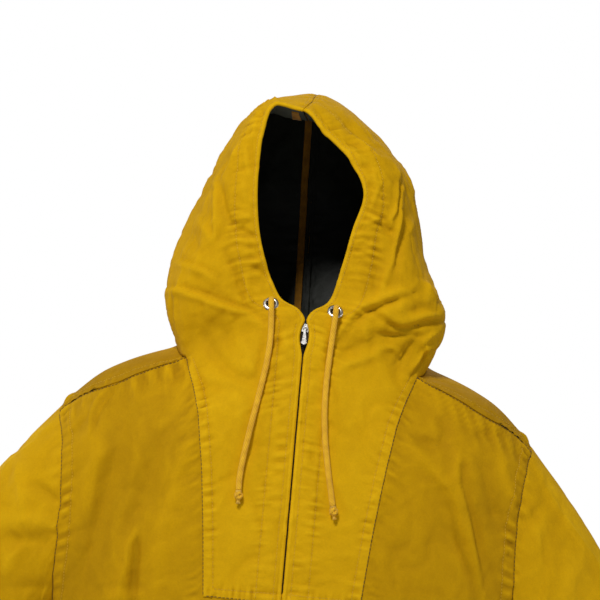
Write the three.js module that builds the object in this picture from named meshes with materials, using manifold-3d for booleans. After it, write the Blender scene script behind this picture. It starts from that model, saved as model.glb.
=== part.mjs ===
// Hooded half-zip anorak pullover, filled out with nobody in it. Millimetres, +Z up, +X to the right when
// seen from the front, front towards -Y. The origin is the middle of the neck's base, level with the shoulders.
import * as THREE from 'three';
import { mergeVertices } from 'three/addons/utils/BufferGeometryUtils.js';
import Module from 'manifold-3d';

// Driving dimensions
const WALL = 2;
const SEAM_GAP = 0.4;
const SHOULDER_ROLL = 95;
const SECTION_POWER = 2.4;
const ZIP_HALF_GAP = 0.7;
const LENS = { top: 41, bottom: 5, widest: 20, halfWidth: 4.4 };
const CASING_LEVEL = 2.6;
const CASING_THICK = 1.2;
const TAPE_THICK = 1.1;
const CHAIN = { halfWidth: 2.4, front: 4.7, thick: 2.2 };
const EYELET = { outer: 8.5, bore: 4.75, hole: 5.6, barrel: 5.2, flange: 1, behind: 1.7 };
const CORD_RADIUS = 3;
const KNOT = { radius: 4.6, length: 15 };
const HINGE = { z: 34.5, out: 0.4, pin: 0.6, bore: 0.95, eye: 1.8, eyeHalf: 0.75, earIn: 1.15, earOut: 1.95 };
const TAB = { length: 19, topHalf: 0.8, halfWidth: 2.5, thick: 1.2 };

const COLOUR = {
  cloth: new THREE.MeshStandardMaterial({ color: 0xc49b00, roughness: 0.75, side: THREE.DoubleSide }),
  facing: new THREE.MeshStandardMaterial({ color: 0x23251b, roughness: 0.8, metalness: 0 }),
  tape: new THREE.MeshStandardMaterial({ color: 0x3a2c18, roughness: 0.85, metalness: 0 }),
  metal: new THREE.MeshStandardMaterial({ color: 0xb9b6ae, roughness: 0.3, metalness: 1 }),
  cord: new THREE.MeshStandardMaterial({ color: 0xcf9a12, roughness: 0.85, metalness: 0 }),
};

// Body sections by height: half width, front depth and back depth
const BODY = [
  { z: 60, width: 285, front: 90, back: 112 },
  { z: 0, width: 285, front: 105, back: 122 },
  { z: -80, width: 285, front: 122, back: 128 },
  { z: -160, width: 285, front: 136, back: 132 },
  { z: -220, width: 280, front: 144, back: 133 },
  { z: -270, width: 264, front: 149, back: 132 },
  { z: -305, width: 250, front: 152, back: 131 },
  { z: -330, width: 241, front: 154, back: 130 },
  { z: -400, width: 238, front: 157, back: 130 },
  { z: -500, width: 239, front: 159, back: 133 },
  { z: -600, width: 243, front: 160, back: 136 },
  { z: -700, width: 248, front: 159, back: 138 },
];

// Top line of the shoulders by distance from the middle: for the back, for the front, and the seam's drop
const SHOULDER = [
  { x: 0, back: 60, front: 140, drop: 10 },
  { x: 40, back: 55, front: 112, drop: 10 },
  { x: 75, back: 42, front: 62, drop: 12 },
  { x: 100, back: 28, front: 32, drop: 15 },
  { x: 124, back: 12, front: 12, drop: 20 },
  { x: 153, back: 0, front: 0, drop: 21 },
  { x: 175, back: -10, front: -10, drop: 21 },
  { x: 194, back: -20, front: -20, drop: 21 },
  { x: 211, back: -30, front: -30, drop: 19 },
  { x: 223, back: -39, front: -39, drop: 15 },
  { x: 234, back: -49, front: -49, drop: 11 },
  { x: 244, back: -59, front: -59, drop: 9 },
  { x: 257, back: -73, front: -73, drop: 9 },
  { x: 275, back: -92, front: -92, drop: 9 },
];

// Armhole line on the body by height
const ARMHOLE = [
  { z: -60, x: 257 },
  { z: -83, x: 256 },
  { z: -108, x: 249 },
  { z: -143, x: 244 },
  { z: -185, x: 242 },
  { z: -232, x: 243 },
  { z: -275, x: 244 },
  { z: -305, x: 243 },
  { z: -330, x: 241 },
];

// Levels of the front: height at the middle, at the bib seam and at the armhole or side, and the seam's x
const LEVELS = [
  { at: 0, middle: 43, seam: -8, side: -82, seamX: 124 },
  { at: -1, middle: -30, seam: -62, side: -140, seamX: 104 },
  { at: -2, middle: -105, seam: -122, side: -196, seamX: 94 },
  { at: -3, middle: -178, seam: -186, side: -250, seamX: 86.5 },
  { at: -4, middle: -250, seam: -250, side: -298, seamX: 80.5 },
  { at: -5, middle: -318, seam: -318, side: -330, seamX: 81 },
  { at: -6, middle: -398, seam: -398, side: -400, seamX: 82 },
  { at: -7, middle: -475, seam: -475, side: -475, seamX: 83 },
  { at: -8, middle: -550, seam: -550, side: -550, seamX: 84 },
  { at: -9, middle: -620, seam: -620, side: -620, seamX: 85 },
  { at: -10, middle: -690, seam: -690, side: -690, seamX: 86 },
];

// Hood form, a row for each height and side: front edge, casing stitch, cheek and temple, then the outline
const HOOD_LEFT = [
  {
    edge: [-30, -78, 66], casing: [-60, -83, 60], cheek: [-101, -80, 46],
    temple: [-140, -54, 32], side: [-149, 2, 36],
  },
  {
    edge: [-48, -79, 103], casing: [-75, -81, 99], cheek: [-112, -74, 84],
    temple: [-145, -48, 68], side: [-154, 8, 68],
  },
  {
    edge: [-59, -80, 142], casing: [-84, -78, 139], cheek: [-112, -66, 130],
    temple: [-134, -40, 118], side: [-146, 16, 118],
  },
  {
    edge: [-64, -79, 190], casing: [-87, -73, 188], cheek: [-104, -57, 182],
    temple: [-116, -30, 175], side: [-125, 20, 173],
  },
  {
    edge: [-63, -75, 239], casing: [-85, -62, 231], cheek: [-94, -42, 226],
    temple: [-99, -18, 224], side: [-105, 24, 222],
  },
  {
    edge: [-54, -69, 269], casing: [-62, -45, 274], cheek: [-68, -24, 272],
    temple: [-73, -2, 268], side: [-76, 30, 262],
  },
];
const HOOD_RIGHT = [
  {
    edge: [23, -78, 66], casing: [54, -84, 60], cheek: [96, -82, 46],
    temple: [139, -54, 32], side: [149, 2, 38],
  },
  {
    edge: [33, -79, 103], casing: [64, -81, 102], cheek: [104, -76, 86],
    temple: [139, -48, 70], side: [150, 8, 64],
  },
  {
    edge: [41, -80, 142], casing: [67, -78, 139], cheek: [95, -68, 130],
    temple: [117, -40, 118], side: [128, 16, 112],
  },
  {
    edge: [50, -79, 181], casing: [72, -73, 174], cheek: [91, -58, 172],
    temple: [104, -32, 170], side: [114, 20, 166],
  },
  {
    edge: [34, -76, 214], casing: [60, -62, 221], cheek: [78, -44, 220],
    temple: [88, -20, 217], side: [96, 24, 212],
  },
  {
    edge: [4, -71, 243], casing: [29, -50, 250], cheek: [41, -28, 258],
    temple: [48, -4, 260], side: [53, 30, 257],
  },
];

// Back of the hood, the same on both sides: back quarter and centre seam
const HOOD_BACK = [
  { quarter: [112, 84, 44], centre: [-1, 108, 46] },
  { quarter: [116, 100, 80], centre: [-2, 128, 82] },
  { quarter: [108, 113, 118], centre: [-3, 142, 118] },
  { quarter: [94, 119, 158], centre: [-4, 149, 152] },
  { quarter: [78, 115, 196], centre: [-5, 148, 182] },
  { quarter: [54, 104, 230], centre: [-6, 142, 205] },
];
const NECK_BACK = { side: [134, 0, 4], quarter: [100, 60, 12], centre: [0, 88, 15] };
const HOOD_RIDGE = [
  [-22, -66, 266],
  [-14, -42, 277],
  [-11, -14, 286],
  [-9, 14, 291],
  [-8, 46, 291],
  [-7, 96, 266],
  [-6, 132, 222],
];

// Main folds on the front, in front-view x and z: a ridge lifts the cloth, a trough (negative) sinks it
const FOLDS = [
  { from: [-152, 66], to: [-62, 34], width: 13, lift: 5 },
  { from: [-118, 24], to: [-40, 8], width: 14, lift: -4 },
  { from: [-112, 178], to: [-108, 116], width: 11, lift: -6 },
  { from: [-150, 98], to: [-84, 84], width: 12, lift: 4 },
  { from: [44, 30], to: [116, 84], width: 13, lift: 5 },
  { from: [96, 218], to: [98, 140], width: 12, lift: -5 },
  { from: [150, 62], to: [104, 22], width: 12, lift: 5 },
  { from: [132, 8], to: [98, 60], width: 12, lift: -4 },
  { from: [108, -22], to: [102, -86], width: 12, lift: -4 },
  { from: [166, -102], to: [204, -236], width: 15, lift: 6 },
  { from: [136, -70], to: [176, -190], width: 15, lift: -5 },
  { from: [-196, -44], to: [-214, -100], width: 14, lift: -5 },
  { from: [-166, -190], to: [-168, -330], width: 15, lift: 5 },
  { from: [-198, -120], to: [-196, -300], width: 18, lift: -5 },
  { from: [-60, -330], to: [-96, -560], width: 26, lift: 6 },
  { from: [40, -340], to: [92, -600], width: 26, lift: -6 },
  { from: [150, -330], to: [120, -640], width: 24, lift: 6 },
  { from: [-180, -420], to: [-150, -660], width: 24, lift: -5 },
];
const BACK_FOLDS = [
  { from: [-120, -60], to: [-30, -150], width: 24, lift: -5 },
  { from: [110, -70], to: [36, -170], width: 24, lift: -5 },
  { from: [-200, -230], to: [-110, -420], width: 26, lift: 6 },
  { from: [196, -240], to: [120, -440], width: 26, lift: 6 },
  { from: [-40, -300], to: [-70, -600], width: 28, lift: -6 },
  { from: [60, -360], to: [80, -640], width: 28, lift: 6 },
];

// Sleeve stations from armhole to cuff: top line, under line and half depth; folds are rings in it
const SLEEVE = [
  { top: [257, -73], under: [241, -330], depth: 88 },
  { top: [316, -143], under: [253, -345], depth: 84 },
  { top: [372, -223], under: [268, -370], depth: 78 },
  { top: [423, -312], under: [299, -408], depth: 71 },
  { top: [468, -403], under: [347, -461], depth: 63 },
  { top: [508, -499], under: [405, -545], depth: 54 },
  { top: [543, -592], under: [459, -629], depth: 44 },
];
const SLEEVE_RINGS = [
  { at: 1.5, half: 0.18, lift: -4, turn: 150 },
  { at: 2.1, half: 0.2, lift: 4, turn: 170 },
  { at: 2.7, half: 0.2, lift: -5, turn: 200 },
  { at: 3.3, half: 0.2, lift: 5, turn: 190 },
  { at: 4.0, half: 0.22, lift: -4, turn: 160 },
  { at: 4.7, half: 0.22, lift: 4, turn: 200 },
];

// Hanging cords, from inside the eyelet to the knot
const CORD_LEFT = [
  [-38.2, -84.5, 55.5], [-38.1, -88.5, 58.3], [-38, -94.5, 61], [-37.6, -99.5, 57.5],
  [-36.9, -100.6, 49], [-36, -100.5, 38], [-35.4, -101, 26], [-35.5, -104, 12],
  [-36.6, -107.4, -3], [-38.6, -110.8, -18], [-41, -115.4, -34], [-43.8, -119.6, -51],
  [-46.8, -124, -69], [-49.8, -127.7, -88], [-52.4, -131, -107], [-54, -134.2, -125],
  [-53.8, -136.4, -138],
];
const CORD_RIGHT = [
  [30.5, -87.2, 53], [30.8, -91.2, 55.8], [30.9, -97.2, 58.4], [30.8, -102.2, 54.6],
  [30.5, -102.6, 46], [30, -102.4, 36], [29.2, -102.8, 25], [28.4, -105.6, 11],
  [27.6, -109.4, -4], [27.1, -113.2, -20], [27.1, -117.4, -37], [28.2, -121.8, -57],
  [30.6, -126, -78], [34, -129.7, -98], [38, -133.2, -118], [42, -136.2, -136],
  [44.2, -137.9, -146],
];

const vector = (p) => new THREE.Vector3(...p);
const clamp = (t, low = 0, high = 1) => Math.min(high, Math.max(low, t));
const mix = (a, b, t) => a + (b - a) * t;

// A smooth value from a table whose key column rises or falls
function track(rows, key, column, at) {
  const list = rows[0][key] < rows[rows.length - 1][key] ? rows : [...rows].reverse();
  let i = list.findIndex((row) => row[key] > at) - 1;
  if (i === -2) i = list.length - 2;
  i = clamp(i, 0, list.length - 2);
  const slope = (k) => {
    const a = list[clamp(k - 1, 0, list.length - 1)];
    const b = list[clamp(k + 1, 0, list.length - 1)];
    return (b[column] - a[column]) / (b[key] - a[key]);
  };
  const span = list[i + 1][key] - list[i][key];
  const t = clamp((at - list[i][key]) / span);
  const [p, q] = [list[i][column], list[i + 1][column]];
  const [m, n] = [slope(i) * span, slope(i + 1) * span];
  return p + m * t + (3 * (q - p) - 2 * m - n) * t * t + (2 * (p - q) + m + n) * t * t * t;
}

function smooth(a, b, c, d, t) {
  const value = (k) => {
    const [p, q, r, s] = [a[k], b[k], c[k], d[k]];
    return q + 0.5 * t * (r - p + t * (2 * p - 5 * q + 4 * r - s + t * (3 * (q - r) + s - p)));
  };
  return [value(0), value(1), value(2)];
}

// Body surface
const frontTop = (x) => track(SHOULDER, 'x', 'front', Math.abs(x));
const backTop = (x) => track(SHOULDER, 'x', 'back', Math.abs(x));

function sectionShare(x, z) {
  const s = clamp(Math.abs(x) / track(BODY, 'z', 'width', z));
  return (1 - s ** SECTION_POWER) ** (1 / SECTION_POWER);
}

function rollShare(drop) {
  const t = clamp(drop / SHOULDER_ROLL);
  return Math.sqrt(1 - (1 - t) ** 2);
}

const frontY = (x, z) => -track(BODY, 'z', 'front', z) * sectionShare(x, z) * rollShare(frontTop(x) - z);

function sideX(z) {
  return z > ARMHOLE[ARMHOLE.length - 1].z ? track(ARMHOLE, 'z', 'x', z) : track(BODY, 'z', 'width', z);
}

function spreadX(z, share, innerX) {
  const width = track(BODY, 'z', 'width', z);
  const angle = (x) => Math.acos(clamp(x / width) ** (SECTION_POWER / 2));
  return width * Math.cos(mix(angle(sideX(z)), angle(innerX), share)) ** (2 / SECTION_POWER);
}

// Control net of one hood and bib half: rows from the bib's bottom (-4) to the hood's top seam (7)
function hoodNet(side) {
  const sign = side === 'left' ? -1 : 1;
  const net = [];
  for (let row = -4; row <= 0; row++) {
    const level = LEVELS[-row];
    const line = [];
    for (let column = 0; column <= 3; column++) {
      const x = [ZIP_HALF_GAP, 27, mix(27, level.seamX, 0.5), level.seamX][column];
      const z = mix(level.middle, level.seam, (x / level.seamX) ** 1.3);
      line.push([sign * x, frontY(x, z), z]);
    }
    if (row === 0) {
      for (const key of ['side', 'quarter', 'centre']) {
        const [x, y, z] = NECK_BACK[key];
        line.push([sign * x, y, z]);
      }
    } else {
      for (let column = 4; column <= 6; column++) line.push(beyond(line[column - 1], line[column - 2]));
    }
    net.push(line);
  }
  const front = side === 'left' ? HOOD_LEFT : HOOD_RIGHT;
  front.forEach((row, i) => {
    const { quarter, centre } = HOOD_BACK[i];
    const back = [[sign * quarter[0] + centre[0], quarter[1], quarter[2]], centre];
    net.push([row.edge, row.casing, row.cheek, row.temple, row.side, ...back]);
  });
  net.push(HOOD_RIDGE);
  return net;
}

const beyond = (p, q) => [2 * p[0] - q[0], 2 * p[1] - q[1], 2 * p[2] - q[2]];
const mirrored = (p, seam) => [2 * seam[0] - p[0], p[1], p[2]];
const NET = { left: hoodNet('left'), right: hoodNet('right') };
const NET_FIRST = -4;

// Point on the hood and bib: column 0 (front edge) to 6 (centre back), row -4 (bib bottom) to 7 (top seam)
function hoodPoint(side, column, row) {
  const net = NET[side];
  const last = net.length - 1;
  const fetch = (j, i) => {
    if (j < 0) return beyond(fetch(0, i), fetch(1, i));
    if (j > last) return mirrored(fetch(last - 1, i), fetch(last, i));
    if (i < 0) return beyond(fetch(j, 0), fetch(j, 1));
    if (i > 6) return mirrored(fetch(j, 5), fetch(j, 6));
    return net[j][i];
  };
  const base = -NET_FIRST;
  const j = clamp(Math.floor(row - NET_FIRST), 0, last - 1);
  const i = clamp(Math.floor(column), 0, 5);
  const atNeck = (k, c) => row >= 0 && c > 3 && k < base;
  const below = (k, c) => (atNeck(k, c) ? beyond(fetch(base, c), fetch(base + 1, c)) : fetch(k, c));
  const across = (k) => smooth(below(k, i - 1), below(k, i), below(k, i + 1), below(k, i + 2), column - i);
  const [p, q, r, s] = [across(j - 1), across(j), across(j + 1), across(j + 2)];
  if (j < base) s[0] = 2 * r[0] - q[0];
  return smooth(p, q, r, s, row - NET_FIRST - j);
}

// Fold heights at a place on the front view
function foldLift(folds, x, z) {
  let lift = 0;
  for (const fold of folds) {
    const [ax, az] = fold.from;
    const [dx, dz] = [fold.to[0] - ax, fold.to[1] - az];
    const length = Math.hypot(dx, dz);
    const along = ((x - ax) * dx + (z - az) * dz) / length ** 2;
    if (along <= 0 || along >= 1) continue;
    const aside = ((x - ax) * dz - (z - az) * dx) / length;
    lift += fold.lift * Math.sqrt(Math.sin(Math.PI * along)) * Math.exp(-((aside / fold.width) ** 2));
  }
  return lift;
}

// Front panel point: share 0 at the armhole or side, 1 at the bib seam, for x > 0
const frontRowZ = (x, row) => {
  const level = (column) => track(LEVELS, 'at', column, row);
  const seamX = level('seamX');
  if (x <= seamX) return mix(level('middle'), level('seam'), (x / seamX) ** 1.3);
  const reach = sideX(level('side'));
  const plain = mix(level('seam'), level('side'), (x - seamX) / (reach - seamX));
  const bow = shoulderBow(x) - (shoulderBow(seamX) * (reach - x)) / (reach - seamX);
  return plain + bow * clamp(1 + row / 3) ** 2;
};

// How far the forward shoulder seam stands above a straight line from the bib to the armhole
function shoulderBow(x) {
  const [neck, tip] = [{ x: 124, z: LEVELS[0].seam }, { x: 256, z: LEVELS[0].side }];
  return frontTop(x) - track(SHOULDER, 'x', 'drop', x) - mix(neck.z, tip.z, (x - neck.x) / (tip.x - neck.x));
}

function frontPoint(side, share, row) {
  const sign = side === 'left' ? -1 : 1;
  const seamX = track(LEVELS, 'at', 'seamX', row);
  const guess = mix(track(LEVELS, 'at', 'side', row), track(LEVELS, 'at', 'seam', row), share);
  const x = share === 1 ? seamX : spreadX(guess, share, seamX);
  const z = frontRowZ(x, row);
  const point = [sign * x, frontY(x, z), z];
  if (row < NET_FIRST) return point;
  const seam = hoodPoint(side, 3, row);
  const own = [sign * seamX, frontY(seamX, frontRowZ(seamX, row)), frontRowZ(seamX, row)];
  return point.map((value, k) => value + (seam[k] - own[k]) * share ** 3);
}

// Below the bib the front runs on across the middle; share 0 at the bib seam line, 1 at the middle
function lowerFrontPoint(side, share, row) {
  const sign = side === 'left' ? -1 : 1;
  const seamX = track(LEVELS, 'at', 'seamX', row);
  const column = 3 * (1 - share);
  const shape = hoodPoint(side, column, NET_FIRST);
  const x = share === 1 ? 0 : (Math.abs(shape[0]) / LEVELS[4].seamX) * seamX;
  if (row === NET_FIRST) return [sign * x, shape[1], shape[2]];
  const z = frontRowZ(x, row);
  return [sign * x, frontY(x, z), z];
}

// Back panel: rows 0 to 4 roll over the shoulder from the forward seam, then go down to the hem
const BACK_ROWS = [0, 1, 2, 3, 4, 4.2, 4.43, 4.66, 4.85, 5];
const ROLL_END = 4;
const NECK_ROW = 3;
const NECK_COLUMN_X = 120;
const SHOULDER_TIP_Z = -73;
const ROLL_FOOT_Z = -168;
const UNDERARM_Z = -330;

function backPoint(side, share, row) {
  const sign = side === 'left' ? -1 : 1;
  if (row === 0) return frontPoint(side, share, 0);
  if (row >= 5) {
    const level = track(LEVELS, 'at', 'side', -row);
    return backBelow(sign, spreadX(level, share, NECK_COLUMN_X), level);
  }
  const rolling = mix(SHOULDER_TIP_Z, ROLL_FOOT_Z, clamp(row / ROLL_END) ** 2);
  const level = row <= ROLL_END ? rolling : mix(ROLL_FOOT_Z, UNDERARM_Z, row - ROLL_END);
  const x = spreadX(level, share, mix(LEVELS[0].seamX, NECK_COLUMN_X, clamp(row / NECK_ROW)));
  return backAt(sign, x, row);
}

const backBelow = (sign, x, z) => [sign * x, track(BODY, 'z', 'back', z) * sectionShare(x, z), z];

function backAt(sign, x, row) {
  const top = backTop(x);
  const startTurn = -Math.acos(1 - track(SHOULDER, 'x', 'drop', x) / SHOULDER_ROLL);
  const turn = mix(startTurn, Math.PI / 2, clamp(row / ROLL_END));
  const rollZ = top - SHOULDER_ROLL * (1 - Math.cos(turn));
  const z = row <= ROLL_END ? rollZ : mix(rollZ, UNDERARM_Z, row - ROLL_END);
  const depth = track(BODY, 'z', turn < 0 ? 'front' : 'back', z) * sectionShare(x, z);
  return [sign * x, depth * (row < ROLL_END ? Math.sin(turn) : 1), z];
}

// Lattice walls: named lattices of points, given thickness once all the seams are known
const lattices = [];
const seamNormals = new Map();
const placeKey = (p) => `${Math.round(p.x * 20)},${Math.round(p.y * 20)},${Math.round(p.z * 20)}`;

function lattice(name, points, options = {}) {
  const rows = points.length;
  const columns = points[0].length;
  const wrap = options.wrap ?? false;
  const cells = [];
  for (let j = 0; j < rows - 1; j++) {
    for (let i = 0; i < (wrap ? columns : columns - 1); i++) {
      if (options.keep && !options.keep(j, i)) continue;
      const right = (i + 1) % columns;
      const cell = [j * columns + i, j * columns + right, (j + 1) * columns + right, (j + 1) * columns + i];
      if (!wrap && 2 * i + 1 > columns) cell.push(cell.shift());
      cells.push(cell);
    }
  }
  const flat = points.flat().map((p) => (p ? vector(p) : null));
  const item = { name, flat, cells, columns, options, flip: options.flip ?? false };
  item.normals = latticeNormals(item);
  lattices.push(item);
  return item;
}

function cellNormal({ flat, flip }, cell) {
  const [a, b, c, d] = cell.map((k) => flat[k]);
  const normal = new THREE.Vector3().crossVectors(c.clone().sub(a), d.clone().sub(b));
  return flip ? normal.negate() : normal;
}

function latticeNormals(item) {
  const normals = item.flat.map(() => new THREE.Vector3());
  for (const cell of item.cells) {
    const normal = cellNormal(item, cell);
    cell.forEach((k) => normals[k].add(normal));
  }
  normals.forEach((normal) => normal.normalize());
  return normals;
}

function shareSeams(items) {
  for (const item of items) {
    for (const k of new Set(item.cells.flat())) {
      const key = placeKey(item.flat[k]);
      if (!seamNormals.has(key)) seamNormals.set(key, []);
      seamNormals.get(key).push(item.normals[k]);
    }
  }
  for (const item of items) {
    item.normals = item.flat.map((p, k) => {
      const shared = p && seamNormals.get(placeKey(p));
      return shared ? betweenWidest(shared) : item.normals[k];
    });
  }
}

// The direction midway between the two normals that differ most
function betweenWidest(list) {
  let [a, b] = [list[0], list[0]];
  for (const p of list) {
    for (const q of list) if (p.dot(q) < a.dot(b)) [a, b] = [p, q];
  }
  return a.clone().add(b).normalize();
}

// Thickness: outer face, inner face and a rim on every open edge, drawn back half the seam gap
function wallGeometry(item) {
  const { flat, cells, normals, options, flip } = item;
  const edges = new Map();
  for (const cell of cells) {
    cell.forEach((a, n) => {
      const b = cell[(n + 1) % 4];
      if (edges.has(`${b},${a}`)) edges.delete(`${b},${a}`);
      else edges.set(`${a},${b}`, [a, b]);
    });
  }
  const shift = new Map();
  for (const [a, b] of edges.values()) {
    for (const k of [a, b]) {
      const inward = new THREE.Vector3().crossVectors(normals[k], flat[b].clone().sub(flat[a])).normalize();
      if (flip) inward.negate();
      if (!shift.has(k)) shift.set(k, new THREE.Vector3());
      shift.get(k).add(inward);
    }
  }
  const thick = options.thick ?? WALL;
  const used = [...new Set(cells.flat())];
  const slot = new Map(used.map((k, n) => [k, n]));
  const positions = [];
  const layer = (depth) => {
    for (const k of used) {
      const p = flat[k].clone().addScaledVector(normals[k], depth(k));
      const s = shift.get(k);
      if (s) p.addScaledVector(s, SEAM_GAP / s.lengthSq());
      positions.push(p.x, p.y, p.z);
    }
  };
  const atCell = (rule, k) => (rule ? rule(Math.floor(k / item.columns), k % item.columns) : 0);
  const level = (k) => -(options.level ?? 0) - atCell(options.sink, k);
  const raise = (k) => atCell(options.raise, k);
  layer((k) => level(k) + raise(k));
  layer((k) => level(k) - thick);
  const index = [];
  const quad = (a, b, c, d) => (flip ? index.push(a, c, b, a, d, c) : index.push(a, b, c, a, c, d));
  const count = used.length;
  for (const cell of cells) {
    const [a, b, c, d] = cell.map((k) => slot.get(k));
    quad(a, b, c, d);
    quad(a + count, d + count, c + count, b + count);
  }
  for (const [p, q] of edges.values()) {
    const [a, b] = [slot.get(p), slot.get(q)];
    quad(b, a, a + count, b + count);
  }
  const geometry = new THREE.BufferGeometry();
  geometry.setAttribute('position', new THREE.Float32BufferAttribute(positions, 3));
  geometry.setIndex(index);
  return geometry;
}

// Solids for cutting and joining
const wasm = await Module();
wasm.setup();

function toSolid(geometry) {
  const bare = geometry.clone();
  bare.deleteAttribute('normal');
  bare.deleteAttribute('uv');
  const merged = mergeVertices(bare, 1e-4);
  const mesh = new wasm.Mesh({
    numProp: 3,
    vertProperties: new Float32Array(merged.attributes.position.array),
    triVerts: new Uint32Array(merged.index.array),
  });
  return new wasm.Manifold(mesh);
}

function fromSolid(solid) {
  const mesh = solid.getMesh();
  const geometry = new THREE.BufferGeometry();
  geometry.setAttribute('position', new THREE.Float32BufferAttribute(mesh.vertProperties, 3));
  geometry.setIndex([...mesh.triVerts]);
  return geometry;
}

const garment = new THREE.Group();

function addPiece(name, geometry, material) {
  const mesh = new THREE.Mesh(geometry, material);
  mesh.name = name;
  garment.add(mesh);
  return mesh;
}

// Lattices of the cloth pieces
const SIDE_CELLS = 7;
const HOOD_COLUMNS = 12;
const range = (count) => Array.from({ length: count }, (_, n) => n);
const bibRows = range(11).map((n) => -4 + n * 0.4);
const hoodRows = [...bibRows, ...range(14).map((n) => 0.5 + n * 0.5)];
const frontRows = [...[...bibRows].reverse(), -4.5, -5, -5.5, -6, -6.5, -7, -7.5, -8, -8.5, -9, -9.5, -10];
const hemRows = range(11).map((n) => 5 + n * 0.5);

// Cloth with its main folds; edges of a panel keep their place
function folded(folds, point, keep, outward) {
  if (keep) return point;
  const lift = foldLift(folds, point[0], point[2]);
  return [point[0] + outward[0] * lift, point[1] + outward[1] * lift, point[2]];
}

const outwardFrom = (point, sign) => {
  const flatX = point[0] / 250;
  const length = Math.hypot(flatX ** 3, 1);
  return [flatX ** 3 / length, sign / length];
};

function hoodLattice(side) {
  const points = hoodRows.map((row) =>
    range(HOOD_COLUMNS + 1).map((n) => {
      const column = n / 2;
      if (row < 0 && column > 3) return null;
      const point = hoodPoint(side, column, row);
      const onEdge = column === 0 || (row <= 0 && column === 3) || (row === 0 && column > 3) || row === -4;
      return folded(FOLDS, point, onEdge || column > 4.2 || row > 6, outwardFrom(point, -1));
    }),
  );
  const keep = (j, i) => hoodRows[j] >= 0 || i < 6;
  const band = (j, i) => (j < 10 && i === 6) || j === 0 ? 1 : 0;
  return lattice(`hood_bib_${side}`, points, { keep, flip: side === 'left', raise: band });
}

function frontLattice() {
  const rowPoints = (row) => {
    const half = (side) => {
      const block = range(SIDE_CELLS + 1).map((n) => {
        const point = frontPoint(side, n / SIDE_CELLS, row);
        const fixed = n === 0 || (n === SIDE_CELLS && row >= -4) || row === 0;
        return folded(FOLDS, point, fixed, outwardFrom(point, -1));
      });
      const middle = range(6).map((n) => {
        if (row > NET_FIRST) return null;
        const point = lowerFrontPoint(side, (n + 1) / 6, row);
        return folded(FOLDS, point, row === NET_FIRST, outwardFrom(point, -1));
      });
      return [...block, ...middle];
    };
    const right = half('right').reverse().slice(1);
    return [...half('left'), ...right];
  };
  const points = frontRows.map(rowPoints);
  const bibBottom = frontRows.indexOf(-4);
  const keep = (j, i) => j >= bibBottom || i < SIDE_CELLS || i >= SIDE_CELLS + 12;
  return lattice('front', points, { keep, flip: true });
}

function backLattice() {
  const rows = [...BACK_ROWS, ...hemRows.slice(1)];
  const neckLift = (side, row) => {
    const column = 3 + Math.min(row, NECK_ROW) / 2;
    const seam = hoodPoint(side, column, 0);
    const own = backPoint(side, 1, Math.min(row, NECK_ROW));
    return seam.map((value, k) => value - own[k]);
  };
  const fade = (row) => (row <= NECK_ROW ? 1 : clamp(1 - (row - NECK_ROW) / 1.6) ** 2);
  const rowPoints = (row) => {
    const half = (side) => {
      const sign = side === 'left' ? -1 : 1;
      const lift = row === 0 ? [0, 0, 0] : neckLift(side, row);
      const block = range(SIDE_CELLS + 1).map((n) => {
        const share = n / SIDE_CELLS;
        const point = backPoint(side, share, row).map((value, k) => value + lift[k] * fade(row) * share ** 3);
        const fixed = n === 0 || row <= NECK_ROW;
        return folded(BACK_FOLDS, point, fixed, outwardFrom(point, 1));
      });
      const middle = range(3).map((n) => {
        if (row < NECK_ROW) return null;
        const column = 4.5 + (n + 1) / 2;
        const seam = hoodPoint(side, column, 0);
        if (row === NECK_ROW) return seam;
        const edge = backPoint(side, 1, row);
        const x = (Math.abs(edge[0]) * (2 - n)) / 3;
        const own = row >= 5 ? backBelow(sign, x, edge[2]) : backAt(sign, x, row);
        const start = backAt(sign, (NECK_COLUMN_X * (2 - n)) / 3, NECK_ROW);
        const point = own.map((value, k) => value + (seam[k] - start[k]) * fade(row));
        return folded(BACK_FOLDS, point, false, outwardFrom(point, 1));
      });
      return [...block, ...middle];
    };
    const right = half('right').reverse().slice(1);
    return [...half('left'), ...right];
  };
  const points = rows.map(rowPoints);
  const keep = (j, i) => j >= NECK_ROW || i < SIDE_CELLS || i >= SIDE_CELLS + 6;
  return lattice('back', points, { keep });
}

// Sleeve: the armhole loop blends into rings between the top line and the under line
const SLEEVE_STEPS = 16;

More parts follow.
